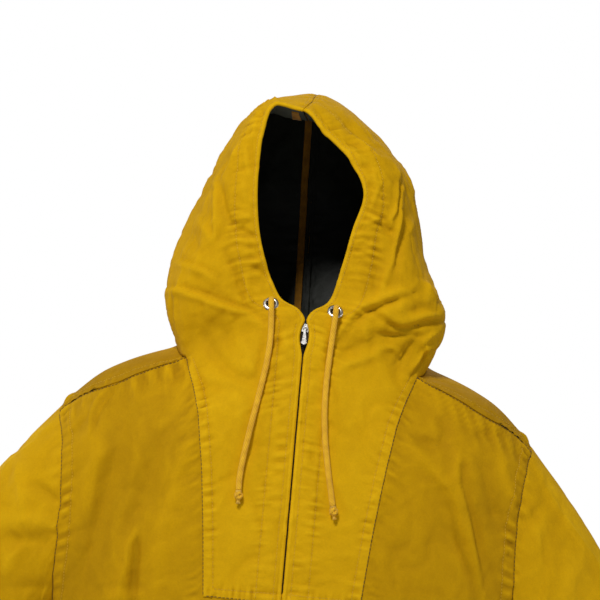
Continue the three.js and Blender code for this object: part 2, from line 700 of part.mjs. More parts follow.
function sleeveLattice(side) {
  const sign = side === 'left' ? -1 : 1;
  const frontLoop = frontRows.slice(0, frontRows.indexOf(-5) + 1).reverse().map((row) => frontPoint(side, 0, row));
  const backLoop = BACK_ROWS.slice(1, -1).map((row) => backPoint(side, 0, row));
  const loop = [...frontLoop, ...backLoop];
  const ridge = loop.reduce((best, p, k) => (p[2] > loop[best][2] ? k : best), 0);
  const lengths = [0];
  loop.forEach((p, k) => {
    const next = loop[(k + 1) % loop.length];
    lengths.push(lengths[k] + vector(p).distanceTo(vector(next)));
  });
  const total = lengths[loop.length];
  const turns = loop.map((_, k) => {
    if (k <= ridge) return Math.PI * (1 - lengths[k] / lengths[ridge]);
    return -Math.PI * ((lengths[k] - lengths[ridge]) / (total - lengths[ridge]));
  });
  const station = (n, k) => {
    if (n === 0) return loop[k];
    const { top, under, depth } = SLEEVE[n];
    const [cx, cz] = [(top[0] + under[0]) / 2, (top[1] + under[1]) / 2];
    const c = Math.cos(turns[k]);
    const s = Math.sin(turns[k]);
    const reach = (Math.abs(c) ** 2.2 + Math.abs(s) ** 2.2) ** (-1 / 2.2);
    return [sign * (cx + (top[0] - cx) * c * reach), -depth * s * reach, cz + (top[1] - cz) * c * reach];
  };
  const last = SLEEVE.length - 1;
  const rows = range(SLEEVE_STEPS + 1).map((step) => {
    const at = (step / SLEEVE_STEPS) * last;
    const n = clamp(Math.floor(at), 0, last - 1);
    return loop.map((_, k) => {
      const fetch = (m) => {
        if (m < 0) return beyond(station(0, k), station(1, k));
        return m > last ? beyond(station(last, k), station(last - 1, k)) : station(m, k);
      };
      const point = smooth(fetch(n - 1), fetch(n), fetch(n + 1), fetch(n + 2), at - n);
      return sleeveFold(point, at, turns[k], sign);
    });
  });
  return lattice(`sleeve_${side}`, rows, { wrap: true, flip: side === 'right' });
}

function sleeveFold(point, at, turn, sign) {
  const { top, under } = SLEEVE[Math.min(SLEEVE.length - 1, Math.round(at))];
  const [cx, cz] = [(top[0] + under[0]) / 2, (top[1] + under[1]) / 2];
  const out = [point[0] - sign * cx, point[1], point[2] - cz];
  const size = Math.hypot(...out);
  let lift = 0;
  for (const ring of SLEEVE_RINGS) {
    const near = Math.exp(-(((at - ring.at) / ring.half) ** 2));
    const facing = Math.cos(turn - (ring.turn * Math.PI) / 180);
    lift += ring.lift * near * clamp(0.4 + 0.6 * facing);
  }
  const ease = clamp(at * 2) * clamp((SLEEVE.length - 1 - at) * 2);
  return point.map((value, k) => value + (out[k] / size) * lift * ease);
}

// A place on the facets of a hood half, so that what lies under them keeps its distance
function onFacets(side, column, row) {
  const points = hoods[side].flat;
  const i = clamp(Math.floor(column * 2), 0, HOOD_COLUMNS - 1);
  const j = clamp(hoodRows.findIndex((value) => value > row) - 1, 0, hoodRows.length - 2);
  const [s, t] = [column * 2 - i, (row - hoodRows[j]) / (hoodRows[j + 1] - hoodRows[j])];
  const at = (b, a) => points[(j + b) * (HOOD_COLUMNS + 1) + i + a].clone();
  return at(0, 0).lerp(at(0, 1), s).lerp(at(1, 0).lerp(at(1, 1), s), t).toArray();
}

// Casing behind the hood's front edge
const casingRows = [0.3, ...hoodRows.filter((row) => row > 0 && row < 7), 6.96];

function casingLattice(side) {
  const rows = casingRows.map((row) => [0.06, 0.5, 0.96].map((column) => onFacets(side, column, row)));
  return lattice(`casing_${side}`, rows, { level: CASING_LEVEL, thick: CASING_THICK, flip: side === 'left' });
}

// Zip tapes slope from the placket to the chain behind it
const tapeRows = [-3.96, ...bibRows.slice(1, -1), -0.24];

function zipTapeLattice(side) {
  const rows = tapeRows.map((row) => [0.08, 0.3, 0.5].map((column) => onFacets(side, column, row)));
  const depth = [CHAIN.front, CHAIN.front - 1.4, CASING_LEVEL];
  const sink = (j, i) => depth[i];
  return lattice(`zip_tape_${side}`, rows, { sink, thick: TAPE_THICK, flip: side === 'left' });
}

function chainLattice() {
  const rows = tapeRows.map((row) => {
    const [, y, z] = hoodPoint('left', 0, row);
    return [[-CHAIN.halfWidth, y, z], [CHAIN.halfWidth, y, z]];
  });
  return lattice('zip_chain', rows, { level: CHAIN.front, thick: CHAIN.thick });
}

// Frame of the zip at a height: point on the front and its outward direction
function zipPlace(z) {
  let [low, high] = [NET_FIRST, 0];
  for (let n = 0; n < 30; n++) {
    const middle = (low + high) / 2;
    if (hoodPoint('left', 0, middle)[2] < z) low = middle;
    else high = middle;
  }
  const a = hoodPoint('left', 0, low - 0.02);
  const b = hoodPoint('left', 0, low + 0.02);
  const slope = Math.atan2(a[1] - b[1], b[2] - a[2]);
  return { y: (a[1] + b[1]) / 2, z, tilt: slope };
}

// A group whose own -Y faces out of the front and +Z runs up the zip
function zipFrame(z) {
  const place = zipPlace(z);
  const group = new THREE.Group();
  group.position.set(0, place.y, place.z);
  group.rotation.x = place.tilt;
  group.updateMatrixWorld();
  return group;
}

// Slider with the ears and pin that carry the pull tab
function sliderSolid() {
  const plate = new THREE.Shape();
  plate.moveTo(-3.2, -4.2);
  plate.lineTo(3.2, -4.2);
  plate.quadraticCurveTo(4.4, 0, 4.2, 2.6);
  plate.quadraticCurveTo(3.6, 4.4, 1.6, 4.6);
  plate.lineTo(-1.6, 4.6);
  plate.quadraticCurveTo(-3.6, 4.4, -4.2, 2.6);
  plate.quadraticCurveTo(-4.4, 0, -3.2, -4.2);
  const body = new THREE.ExtrudeGeometry(plate, { depth: 5.2, bevelEnabled: false, curveSegments: 4 });
  body.rotateX(Math.PI / 2);
  body.translate(0, 8.1, 0);
  let solid = toSolid(body);
  for (const side of [-1, 1]) {
    const ear = new THREE.BoxGeometry(HINGE.earOut - HINGE.earIn, 4.4, 2.6);
    ear.translate((side * (HINGE.earOut + HINGE.earIn)) / 2, 1.2, 0);
    solid = solid.add(toSolid(ear));
  }
  const pin = new THREE.CylinderGeometry(HINGE.pin, HINGE.pin, HINGE.earIn * 2 + 0.4, 12);
  pin.rotateZ(Math.PI / 2);
  pin.translate(0, -HINGE.out, 0);
  return solid.add(toSolid(pin));
}

// Teardrop pull tab hanging from the pin
function tabSolid() {
  const outline = new THREE.Shape();
  outline.moveTo(-TAB.topHalf, -1.2);
  outline.lineTo(TAB.topHalf, -1.2);
  outline.quadraticCurveTo(1.2, -8, TAB.halfWidth, -14.5);
  outline.absarc(0, -TAB.length + TAB.halfWidth, TAB.halfWidth, 0.25, Math.PI - 0.25, true);
  outline.quadraticCurveTo(-1.2, -8, -TAB.topHalf, -1.2);
  const blade = new THREE.ExtrudeGeometry(outline, { depth: TAB.thick, bevelEnabled: false, curveSegments: 8 });
  blade.rotateX(Math.PI / 2);
  blade.translate(0, TAB.thick / 2 - HINGE.out, 0);
  const eye = new THREE.CylinderGeometry(HINGE.eye, HINGE.eye, HINGE.eyeHalf * 2, 20);
  eye.rotateZ(Math.PI / 2);
  eye.translate(0, -HINGE.out, 0);
  const bore = new THREE.CylinderGeometry(HINGE.bore, HINGE.bore, 6, 16);
  bore.rotateZ(Math.PI / 2);
  bore.translate(0, -HINGE.out, 0);
  return toSolid(blade).add(toSolid(eye)).subtract(toSolid(bore));
}

// Lens-shaped gap where the placket stands open over the pull tab
function lensCutter() {
  const place = zipPlace(LENS.widest);
  const outline = new THREE.Shape();
  const { top, bottom, widest, halfWidth } = LENS;
  outline.moveTo(0, bottom);
  outline.bezierCurveTo(halfWidth, bottom + 8, halfWidth * 1.25, widest + 4, halfWidth * 0.62, top - 6);
  outline.lineTo(0, top);
  outline.lineTo(-halfWidth * 0.62, top - 6);
  outline.bezierCurveTo(-halfWidth * 1.25, widest + 4, -halfWidth, bottom + 8, 0, bottom);
  const cutter = new THREE.ExtrudeGeometry(outline, { depth: 30, bevelEnabled: false, curveSegments: 6 });
  cutter.rotateX(Math.PI / 2);
  cutter.translate(0, place.y + 15, 0);
  return toSolid(cutter);
}

// Eyelets: where each sits, and the turned shapes of the ring and of its hole
const EYELET_AT = { left: [-38.2, 56], right: [30.4, 53.5] };

function eyeletFrame(side) {
  const [x, z] = EYELET_AT[side];
  let [column, row] = [0.6, 0.5];
  for (let n = 0; n < 40; n++) {
    const p = hoodPoint(side, column, row);
    column = clamp(column + (Math.abs(x) - Math.abs(p[0])) / 60, 0.05, 1.5);
    row = clamp(row + (z - p[2]) / 60, 0, 2);
  }
  const at = vector(hoodPoint(side, column, row));
  const across = vector(hoodPoint(side, column + 0.3, row)).sub(vector(hoodPoint(side, column - 0.3, row)));
  const up = vector(hoodPoint(side, column, row + 0.3)).sub(vector(hoodPoint(side, column, row - 0.3)));
  const normal = across.cross(up).normalize();
  if (normal.y > 0) normal.negate();
  const group = new THREE.Group();
  group.position.copy(at);
  group.quaternion.setFromUnitVectors(new THREE.Vector3(0, 1, 0), normal);
  group.updateMatrixWorld();
  return group;
}

function eyeletRing() {
  const { outer, bore, barrel, flange, behind } = EYELET;
  const profile = [
    [bore, -behind], [barrel, -behind], [barrel, 0.4], [outer, 0.4], [outer, 0.4 + flange * 0.5],
    [outer - 1, 0.4 + flange], [bore + 1.2, 0.5 + flange], [bore, 0.2 + flange * 0.5], [bore, -behind],
  ];
  return new THREE.LatheGeometry(profile.map(([x, y]) => new THREE.Vector2(x, y)), 24);
}

function eyeletHole() {
  const { outer, hole } = EYELET;
  const profile = [[0, -9], [hole, -9], [hole, 0.05], [outer + 0.4, 0.05], [outer + 0.4, 9], [0, 9]];
  return new THREE.LatheGeometry(profile.map(([x, y]) => new THREE.Vector2(x, y)), 24);
}

// Hood tape: the bound seam allowance, beside the centre seam on its left, inside the hood
const TAPE_BAND = { near: 5, far: 14, gap: 0.6, rise: 0.15 };

function hoodTapeGeometry(hoodMesh) {
  const caster = new THREE.Raycaster();
  const path = new THREE.CatmullRomCurve3([
    vector(NECK_BACK.centre),
    ...HOOD_BACK.map((row) => vector(row.centre)),
    ...[...HOOD_RIDGE].reverse().map(vector),
  ]);
  const middle = new THREE.Vector3(0, 30, 130);
  const steps = 26;
  const sections = range(steps + 1).map((n) => {
    const at = path.getPointAt(0.02 + (0.9 * n) / steps);
    return [TAPE_BAND.near, TAPE_BAND.far].map((aside) => {
      const aim = new THREE.Vector3(at.x - aside, at.y, at.z);
      const start = new THREE.Vector3(at.x - aside, middle.y, middle.z);
      const direction = aim.clone().sub(start).normalize();
      caster.set(start, direction);
      const [hit] = caster.intersectObject(hoodMesh);
      return { point: hit.point, direction };
    });
  });
  const positions = [];
  for (const section of sections) {
    for (const depth of [TAPE_BAND.gap, TAPE_BAND.gap + 1]) {
      for (const { point, direction } of section) {
        const p = point.clone().addScaledVector(direction, -depth);
        positions.push(p.x, p.y, p.z);
      }
    }
  }
  const index = [];
  const quad = (a, b, c, d) => index.push(a, b, c, a, c, d);
  for (let n = 0; n < steps; n++) {
    const [a, b, c, d] = [n * 4, n * 4 + 1, n * 4 + 3, n * 4 + 2];
    quad(a, b, b + 4, a + 4);
    quad(b, c, c + 4, b + 4);
    quad(c, d, d + 4, c + 4);
    quad(d, a, a + 4, d + 4);
  }
  const end = steps * 4;
  quad(0, 2, 3, 1);
  quad(end, end + 1, end + 3, end + 2);
  const geometry = new THREE.BufferGeometry();
  geometry.setAttribute('position', new THREE.Float32BufferAttribute(positions, 3));
  geometry.setIndex(index);
  return geometry;
}

// Cords and their knots
function cordGeometry(points) {
  const path = new THREE.CatmullRomCurve3(points.map(vector));
  const section = new THREE.Shape();
  section.absarc(0, 0, CORD_RADIUS, 0, Math.PI * 2);
  return new THREE.ExtrudeGeometry(section, { steps: 30, curveSegments: 8, bevelEnabled: false, extrudePath: path });
}

function knotMesh(side, points) {
  const end = vector(points[points.length - 1]);
  const direction = end.clone().sub(vector(points[points.length - 2])).normalize();
  const { radius, length } = KNOT;
  const profile = [
    [0, 0], [2.6, 0], [3.4, 2], [radius, 5], [radius, 8], [3.2, 11], [2.2, length - 1], [0, length],
  ];
  const shape = new THREE.LatheGeometry(profile.map(([x, y]) => new THREE.Vector2(x, y)), 14);
  const knot = addPiece(`knot_${side}`, shape, COLOUR.cord);
  knot.position.copy(end.addScaledVector(direction, 0.4));
  knot.quaternion.setFromUnitVectors(new THREE.Vector3(0, 1, 0), direction);
}

// Assembly
const hoods = { left: hoodLattice('left'), right: hoodLattice('right') };
const panels = [hoods.left, hoods.right, frontLattice(), backLattice(), sleeveLattice('left'), sleeveLattice('right')];
shareSeams(panels);
const lens = lensCutter();
for (const panel of panels) {
  const side = panel.name.endsWith('left') ? 'left' : 'right';
  let geometry = wallGeometry(panel);
  if (panel.name.startsWith('hood_bib')) {
    const hole = eyeletHole();
    hole.applyMatrix4(eyeletFrame(side).matrixWorld);
    geometry = fromSolid(toSolid(geometry).subtract(lens).subtract(toSolid(hole)));
  }
  const mesh = addPiece(panel.name, geometry, COLOUR.cloth);
  if (panel.name === 'hood_bib_left') addPiece('hood_tape', hoodTapeGeometry(mesh), COLOUR.cloth);
}
for (const side of ['left', 'right']) {
  addPiece(`casing_${side}`, wallGeometry(casingLattice(side)), COLOUR.facing);
  addPiece(`zip_tape_${side}`, wallGeometry(zipTapeLattice(side)), COLOUR.tape);
  const ring = addPiece(`eyelet_${side}`, eyeletRing(), COLOUR.metal);
  eyeletFrame(side).matrixWorld.decompose(ring.position, ring.quaternion, ring.scale);
  const points = side === 'left' ? CORD_LEFT : CORD_RIGHT;
  addPiece(`cord_${side}`, cordGeometry(points), COLOUR.cord);
  knotMesh(side, points);
}
addPiece('zip_chain', wallGeometry(chainLattice()), COLOUR.metal);
const zip = zipFrame(HINGE.z);
const slider = addPiece('slider', fromSolid(sliderSolid()), COLOUR.metal);
const tab = addPiece('pull_tab', fromSolid(tabSolid()), COLOUR.metal);
for (const piece of [slider, tab]) zip.matrixWorld.decompose(piece.position, piece.quaternion, piece.scale);

export default garment;
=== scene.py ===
import math

import bmesh
import bpy
import numpy as np
from mathutils import Matrix, Vector
from mathutils.bvhtree import BVHTree


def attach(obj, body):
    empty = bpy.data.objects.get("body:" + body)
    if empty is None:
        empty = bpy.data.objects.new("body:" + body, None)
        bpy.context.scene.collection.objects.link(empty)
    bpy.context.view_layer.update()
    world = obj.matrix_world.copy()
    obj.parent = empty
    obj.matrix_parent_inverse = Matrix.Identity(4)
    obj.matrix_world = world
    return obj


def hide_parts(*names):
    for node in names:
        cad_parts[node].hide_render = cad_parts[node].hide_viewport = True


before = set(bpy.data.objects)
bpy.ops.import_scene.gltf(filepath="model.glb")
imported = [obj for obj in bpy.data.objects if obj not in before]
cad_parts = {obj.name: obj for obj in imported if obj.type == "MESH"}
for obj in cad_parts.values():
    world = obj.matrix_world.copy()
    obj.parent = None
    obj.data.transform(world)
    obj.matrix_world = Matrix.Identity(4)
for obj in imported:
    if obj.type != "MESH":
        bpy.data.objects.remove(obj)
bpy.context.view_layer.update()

# Driving sizes in millimetres, as in the part's source; MM turns them into metres
MM = 0.001
SHEET = 1.5
SHOULDER_ROLL = 95.0
SECTION_POWER = 2.4
ZIP_HALF_GAP = 0.7
LENS = {"top": 41.0, "bottom": 5.0, "half": 4.3}
CORD_RADIUS = 3.0
BODY_NODE = "garment"

# The camera stands about 2.2 m in front and is rolled, because the photograph shows the garment tilted
CAMERA = {"at": (-7.9, -2200.0, 62.7), "field": 660.0, "roll": 5.0, "sensor": 36.0}
FLOOR_Z = -0.76

BODY = {
    "z": (60, 0, -80, -160, -220, -270, -305, -330, -400, -500, -600, -700),
    "width": (285, 285, 285, 285, 280, 264, 250, 241, 238, 239, 243, 248),
    "front": (90, 105, 122, 136, 144, 149, 152, 154, 157, 159, 160, 159),
    "back": (112, 122, 128, 132, 133, 132, 131, 130, 130, 133, 136, 138),
}
SHOULDER = {
    "x": (0, 40, 75, 100, 124, 153, 175, 194, 211, 223, 234, 244, 257, 275),
    "back": (60, 55, 42, 28, 12, 0, -10, -20, -30, -39, -49, -59, -73, -92),
    "front": (140, 112, 62, 32, 12, 0, -10, -20, -30, -39, -49, -59, -73, -92),
    "drop": (10, 10, 12, 15, 20, 21, 21, 21, 19, 15, 11, 9, 9, 9),
}
ARMHOLE = {
    "z": (-60, -83, -108, -143, -185, -232, -275, -305, -330),
    "x": (257, 256, 249, 244, 242, 243, 244, 243, 241),
}
LEVELS = {
    "at": (0, -1, -2, -3, -4, -5, -6, -7, -8, -9, -10),
    "middle": (43, -30, -105, -178, -250, -318, -398, -475, -550, -620, -690),
    "seam": (-8, -62, -122, -186, -250, -318, -398, -475, -550, -620, -690),
    "side": (-82, -140, -196, -250, -298, -330, -400, -475, -550, -620, -690),
    "seamX": (124, 104, 94, 86.5, 80.5, 81, 82, 83, 84, 85, 86),
}
# Hood form, a row for each height: front edge, casing stitch, cheek, temple and outline
HOOD_FORM = {
    -1: (
        ((-30, -78, 66), (-60, -83, 60), (-101, -80, 46), (-140, -54, 32), (-149, 2, 36)),
        ((-48, -79, 103), (-75, -81, 99), (-112, -74, 84), (-145, -48, 68), (-154, 8, 68)),
        ((-59, -80, 142), (-84, -78, 139), (-112, -66, 130), (-134, -40, 118), (-146, 16, 118)),
        ((-64, -79, 190), (-87, -73, 188), (-104, -57, 182), (-116, -30, 175), (-125, 20, 173)),
        ((-63, -75, 239), (-85, -62, 231), (-94, -42, 226), (-99, -18, 224), (-105, 24, 222)),
        ((-54, -69, 269), (-62, -45, 274), (-68, -24, 272), (-73, -2, 268), (-76, 30, 262)),
    ),
    1: (
        ((23, -78, 66), (54, -84, 60), (96, -82, 46), (139, -54, 32), (149, 2, 38)),
        ((33, -79, 103), (64, -81, 102), (104, -76, 86), (139, -48, 70), (150, 8, 64)),
        ((41, -80, 142), (67, -78, 139), (95, -68, 130), (117, -40, 118), (128, 16, 112)),
        ((50, -79, 181), (72, -73, 174), (91, -58, 172), (104, -32, 170), (114, 20, 166)),
        ((34, -76, 214), (60, -62, 221), (78, -44, 220), (88, -20, 217), (96, 24, 212)),
        ((4, -71, 243), (29, -50, 250), (41, -28, 258), (48, -4, 260), (53, 30, 257)),
    ),
}
HOOD_BACK = (
    ((112, 84, 44), (-1, 108, 46)), ((116, 100, 80), (-2, 128, 82)), ((108, 113, 118), (-3, 142, 118)),
    ((94, 119, 158), (-4, 149, 152)), ((78, 115, 196), (-5, 148, 182)), ((54, 104, 230), (-6, 142, 205)),
)
NECK_BACK = ((134, 0, 4), (100, 60, 12), (0, 88, 15))
HOOD_RIDGE = (
    (-22, -66, 266), (-14, -42, 277), (-11, -14, 286), (-9, 14, 291), (-8, 46, 291), (-7, 96, 266),
    (-6, 132, 222),
)

SLEEVE = (
    ((257, -73), (241, -330), 88), ((316, -143), (253, -345), 84), ((372, -223), (268, -370), 78),
    ((423, -312), (299, -408), 71), ((468, -403), (347, -461), 63), ((508, -499), (405, -545), 54),
    ((543, -592), (459, -629), 44),
)
SLEEVE_RINGS = (
    (1.5, 0.18, -4, 150), (2.1, 0.2, 4, 170), (2.7, 0.2, -5, 200), (3.3, 0.2, 5, 190), (4.0, 0.22, -4, 160),
    (4.7, 0.22, 4, 200),
)

# Folds of the front, in front-view x and z: start, end, half width, lift; a minus lift is a trough
MAIN_FOLDS = (
    (-152, 66, -62, 34, 13, 5), (-118, 24, -40, 8, 14, -4), (-112, 178, -108, 116, 11, -6),
    (-150, 98, -84, 84, 12, 4), (44, 30, 116, 84, 13, 5), (96, 218, 98, 140, 12, -5),
    (150, 62, 104, 22, 12, 5), (132, 8, 98, 60, 12, -4), (108, -22, 102, -86, 12, -4),
    (166, -102, 204, -236, 15, 6), (136, -70, 176, -190, 15, -5), (-196, -44, -214, -100, 14, -5),
    (-166, -190, -168, -330, 15, 5), (-198, -120, -196, -300, 18, -5), (-60, -330, -96, -560, 26, 6),
    (40, -340, 92, -600, 26, -6), (150, -330, 120, -640, 24, 6), (-180, -420, -150, -660, 24, -5),
)
BACK_FOLDS = (
    (-120, -60, -30, -150, 24, -5), (110, -70, 36, -170, 24, -5), (-200, -230, -110, -420, 26, 6),
    (196, -240, 120, -440, 26, 6), (-40, -300, -70, -600, 28, -6), (60, -360, 80, -640, 28, 6),
)
FINE_FOLDS = (
    # Sleeves and lower front, which the photograph doesn't show
    (-300, -128, -292, -200, 8, 2.4), (-322, -180, -300, -260, 9, 2.6), (-284, -230, -262, -300, 8, -2.6),
    (-330, -250, -296, -320, 9, -2.4), (302, -130, 296, -210, 8, -2.4), (278, -132, 272, -200, 8, 2.2),
    (328, -190, 306, -270, 9, 2.6), (290, -240, 268, -310, 8, 2.6), (352, -240, 320, -330, 9, -2.4),
    (380, -300, 340, -400, 10, 2.8), (-384, -300, -342, -400, 10, 2.8), (-430, -400, -390, -480, 10, -2.6),
    (432, -390, 392, -480, 10, -2.6), (-470, -480, -430, -560, 9, 2.4), (474, -470, 434, -560, 9, 2.4),
    (-20, -330, -40, -450, 14, 2.6), (70, -330, 60, -460, 12, -2.4), (-120, -330, -130, -500, 14, -2.6),
    (180, -380, 170, -540, 12, 2.4), (-200, -500, -190, -660, 12, 2.4), (20, -500, 10, -680, 14, -2.2),
    (130, -540, 140, -680, 12, 2.2), (-90, -580, -100, -700, 12, 2.2),
)
# Creases as they show from the front: half width, lift and the line's points
# A roll stands up on the left of its line and sinks on the right
ROLLS = (
    (5, 3.4, ((40, 27), (52, 48), (63, 57), (74, 63), (91, 72), (113, 82))),
    (5, 3.0, ((74, 61), (84, 54), (94, 47), (104, 43), (116, 45), (129, 53), (142, 56), (154, 60))),
    (2.6, 2.6, ((120, -11), (124, -2), (129, 5), (135, 18), (146, 23))),
    (4, 3.2, ((-44, 34), (-64, 46), (-80, 49), (-94, 52), (-114, 58), (-127, 61), (-139, 64), (-152, 63))),
    (4, 2.2, ((-101, 78), (-114, 86), (-130, 91), (-148, 96))),
    (3.4, -2.8, ((-206, -50), (-220, -67), (-224, -82), (-225, -98))),
)
CREASES = (
    (3.6, -3.0, ((81, 33), (92, 31), (99, 30), (111, 33), (119, 36), (127, 35))),
    (3.6, -3.4, ((127, 35), (117, 21), (107, 7), (105, -7), (107, -18))),
    (3.2, 2.2, ((78, 13), (84, 18), (97, 20), (106, 15), (107, 9))),
    (3, 1.6, ((68, 41), (68, 33), (71, 24))),
    (4, -2.2, ((68, 24), (57, 16), (43, 6))),
    (4.5, 2.4, ((91, 15), (74, 7), (58, 0), (42, -8))),
    (2.4, 2.4, ((147, 42), (139, 36), (131, 28), (127, 23), (121, 8))),
    (2.2, 1.8, ((132, 30), (136, 20), (139, 10))),
    (3.4, 2.2, ((85, 106), (84, 95), (81, 79))),
    (4, -2.0, ((72, 112), (72, 92), (73, 74))),
    (3, 1.8, ((100, 66), (105, 59), (110, 53))),
    (5, -2.6, ((116, 61), (130, 65), (147, 62))),
    (4, -2.0, ((132, 51), (143, 52), (152, 55))),
    (2.6, 2.0, ((127, 98), (131, 89), (139, 78))),
    (2.8, 2.4, ((89, 220), (89, 204), (90, 184), (89, 172), (84, 160), (86, 153), (92, 148))),
    (3, 2.8, ((96, 204), (94, 184), (95, 160), (93, 142), (91, 116), (86, 99))),
    (3, -2.8, ((92, 208), (92, 187), (92, 169))),
    (5, -3.0, ((101, 169), (99, 144), (96, 120), (94, 99))),
    (4, -2.4, ((75, 166), (77, 153), (82, 147), (91, 148))),
    (3, 1.8, ((110, 165), (108, 155), (106, 146))),
    (2.2, 1.4, ((60, 210), (63, 201), (65, 193))),
    (2.4, 1.6, ((71, 203), (67, 193), (64, 183), (62, 170))),
    (2.6, 1.8, ((49, 152), (59, 154), (68, 158), (76, 163))),
    (2.4, 1.5, ((44, 138), (56, 140))),
    (2.6, -1.4, ((43, 122), (54, 122))),
    (2.6, -1.4, ((55, 131), (65, 135))),
    (3.2, 1.8, ((31, 232), (41, 226), (51, 220))),
    (4, -2.0, ((26, 242), (36, 241), (47, 235))),
    (3, -1.8, ((45, 217), (54, 214), (61, 210))),
    (5, -2.6, ((24, 263), (38, 253), (54, 243), (71, 235))),
    (3, 1.8, ((33, 250), (48, 240), (64, 228))),
    (3, -2.4, ((-94, 110), (-90, 100), (-83, 90), (-77, 80), (-71, 65), (-65, 50))),
    (3, 2.0, ((-69, 79), (-66, 66), (-63, 52))),
    (2.4, -1.6, ((-65, 94), (-54, 90), (-44, 83))),
    (2.4, 1.4, ((-66, 100), (-53, 101))),
    (2.4, 1.4, ((-59, 69), (-50, 66))),
    (2.4, -1.4, ((-65, 113), (-54, 107))),
    (3, -1.6, ((-114, 58), (-114, 47), (-115, 33))),
    (6, -3.0, ((-111, 15), (-98, -3), (-83, -20), (-68, -28), (-48, -31))),
    (7, 2.4, ((-80, 23), (-69, 8), (-57, -8), (-49, -18))),
    (3.4, -2.2, ((-45, 32), (-42, 18), (-44, -2), (-48, -27))),
    (4, -2.2, ((-29, 19), (-31, 10), (-32, 2))),
    (3, 1.6, ((-23, 24), (-17, 12), (-14, 5))),
    (4, -2.6, ((-125, -10), (-131, -28), (-140, -44))),
    (4, 2.2, ((-120, -22), (-125, -40), (-130, -56))),
    (3, -1.8, ((-11, 96), (-4, 98))),
    (2.8, 3.0, ((-113, 193), (-111, 173), (-110, 151), (-107, 128), (-109, 116))),
    (2.6, 1.8, ((-126, 140), (-117, 127), (-109, 116))),
    (4, -2.6, ((-110, 190), (-104, 163), (-95, 145), (-86, 135), (-73, 125))),
    (4, -3.0, ((-100, 217), (-103, 207), (-107, 198))),
    (2.4, 2.2, ((-92, 224), (-95, 214), (-99, 204), (-105, 198))),
    (3, 1.8, ((-82, 223), (-78, 203), (-74, 192))),
    (2.6, -1.6, ((-77, 230), (-77, 216), (-72, 205))),
    (2.6, 2.2, ((-69, 260), (-74, 251), (-75, 240), (-76, 231))),
    (2.4, -2.4, ((-67, 267), (-69, 262), (-71, 257))),
    (2.4, 1.4, ((-82, 190), (-78, 167), (-68, 165))),
    (2.6, 1.4, ((-85, 150), (-77, 147), (-68, 149))),
    (2.8, -1.6, ((-87, 141), (-72, 131), (-62, 126))),
    (7, -2.4, ((-135, 131), (-130, 116), (-122, 106))),
    (6, -3.4, ((128, -79), (148, -83), (167, -85))),
    (6, -2.0, ((160, -53), (165, -68), (164, -86))),
    (6, 3.6, ((125, -84), (148, -105), (173, -128), (182, -144), (191, -167), (204, -198), (220, -238),
        (228, -261))),
    (5, -2.8, ((176, -142), (183, -160), (193, -191), (206, -222), (216, -253))),
    (4, 3.2, ((181, -89), (180, -112), (186, -130), (197, -159), (208, -198), (220, -230))),
    (6, -3.6, ((190, -105), (188, -123), (204, -166), (216, -214), (225, -248))),
    (6, -2.6, ((186, -63), (206, -69), (227, -68))),
    (7, -2.2, ((207, -93), (220, -133), (235, -170))),
    (6, -2.8, ((284, -131), (269, -154), (259, -162))),
    (2.4, 2.0, ((263, -90), (288, -131), (311, -161), (347, -202), (371, -233))),
    (8, 2.0, ((226, -85), (237, -115), (247, -141))),
    (13, 3.0, ((-214, -94), (-215, -143), (-218, -188), (-222, -239))),
    (15, -4.4, ((-191, -44), (-191, -87), (-205, -156), (-214, -207), (-225, -263), (-230, -299))),
    (10, -2.6, ((-133, -85), (-148, -104), (-164, -170), (-174, -206))),
    (9, 2.0, ((-115, -101), (-127, -146), (-136, -214), (-138, -269))),
    (4, 3.2, ((-166, -207), (-171, -221), (-173, -247), (-179, -283), (-181, -311))),
    (5, -4.0, ((-164, -214), (-163, -246), (-163, -282), (-161, -315))),
    (6, -2.8, ((-287, -164), (-271, -173), (-254, -183))),
    (5, 2.2, ((-289, -167), (-290, -183), (-290, -196))),
    (9, -3.2, ((-320, -230), (-289, -226), (-257, -229))),
    (9, 2.6, ((-307, -206), (-283, -205), (-255, -208))),
    (7, -2.6, ((-307, -281), (-276, -278), (-254, -276))),
    (6, 2.2, ((-308, -271), (-297, -245), (-289, -236))),
    (2.2, 1.8, ((-255, -78), (-282, -113), (-320, -155), (-340, -176))),
    (4, -2.4, ((-113, -25), (-106, -41), (-102, -58))),
    (5, -2.0, ((-106, -44), (-96, -42), (-86, -40))),
    (4, -2.0, ((-165, -31), (-169, -42), (-171, -53))),
    (4, 1.8, ((-189, -37), (-183, -48), (-178, -60))),
    (2.4, 1.2, ((-1, -69), (10, -69))),
    (3, -1.4, ((17, -106), (27, -113))),
)
FINE_BACK_FOLDS = (
    (-150, -60, -60, -110, 9, 2.6), (140, -56, 52, -116, 9, 2.6), (-90, -40, -20, -70, 8, -2.2),
    (80, -44, 16, -76, 8, -2.2), (-190, -120, -170, -230, 9, 2.4), (186, -110, 168, -240, 9, 2.4),
    (-216, -200, -150, -330, 9, -2.6), (212, -210, 148, -350, 9, -2.6), (-150, -380, -110, -520, 12, 2.8),
    (30, -220, 20, -380, 14, 2.2), (140, -420, 116, -600, 12, -2.6), (-60, -180, -50, -330, 12, 2.0),
    (-190, -520, -170, -660, 12, 2.6), (180, -540, 160, -670, 12, 2.4), (0, -520, -16, -670, 14, 2.2),
    # Back of the hood
    (-70, 30, -20, 70, 7, 2.4), (66, 26, 18, 66, 7, 2.4), (-90, 70, -40, 110, 8, -2.4),
    (88, 66, 36, 112, 8, -2.4), (-76, 150, -50, 220, 8, 2.0), (74, 150, 46, 210, 8, -2.0),
    (-112, 60, -96, 120, 8, 2.0), (112, 60, 92, 124, 8, 2.0),
)

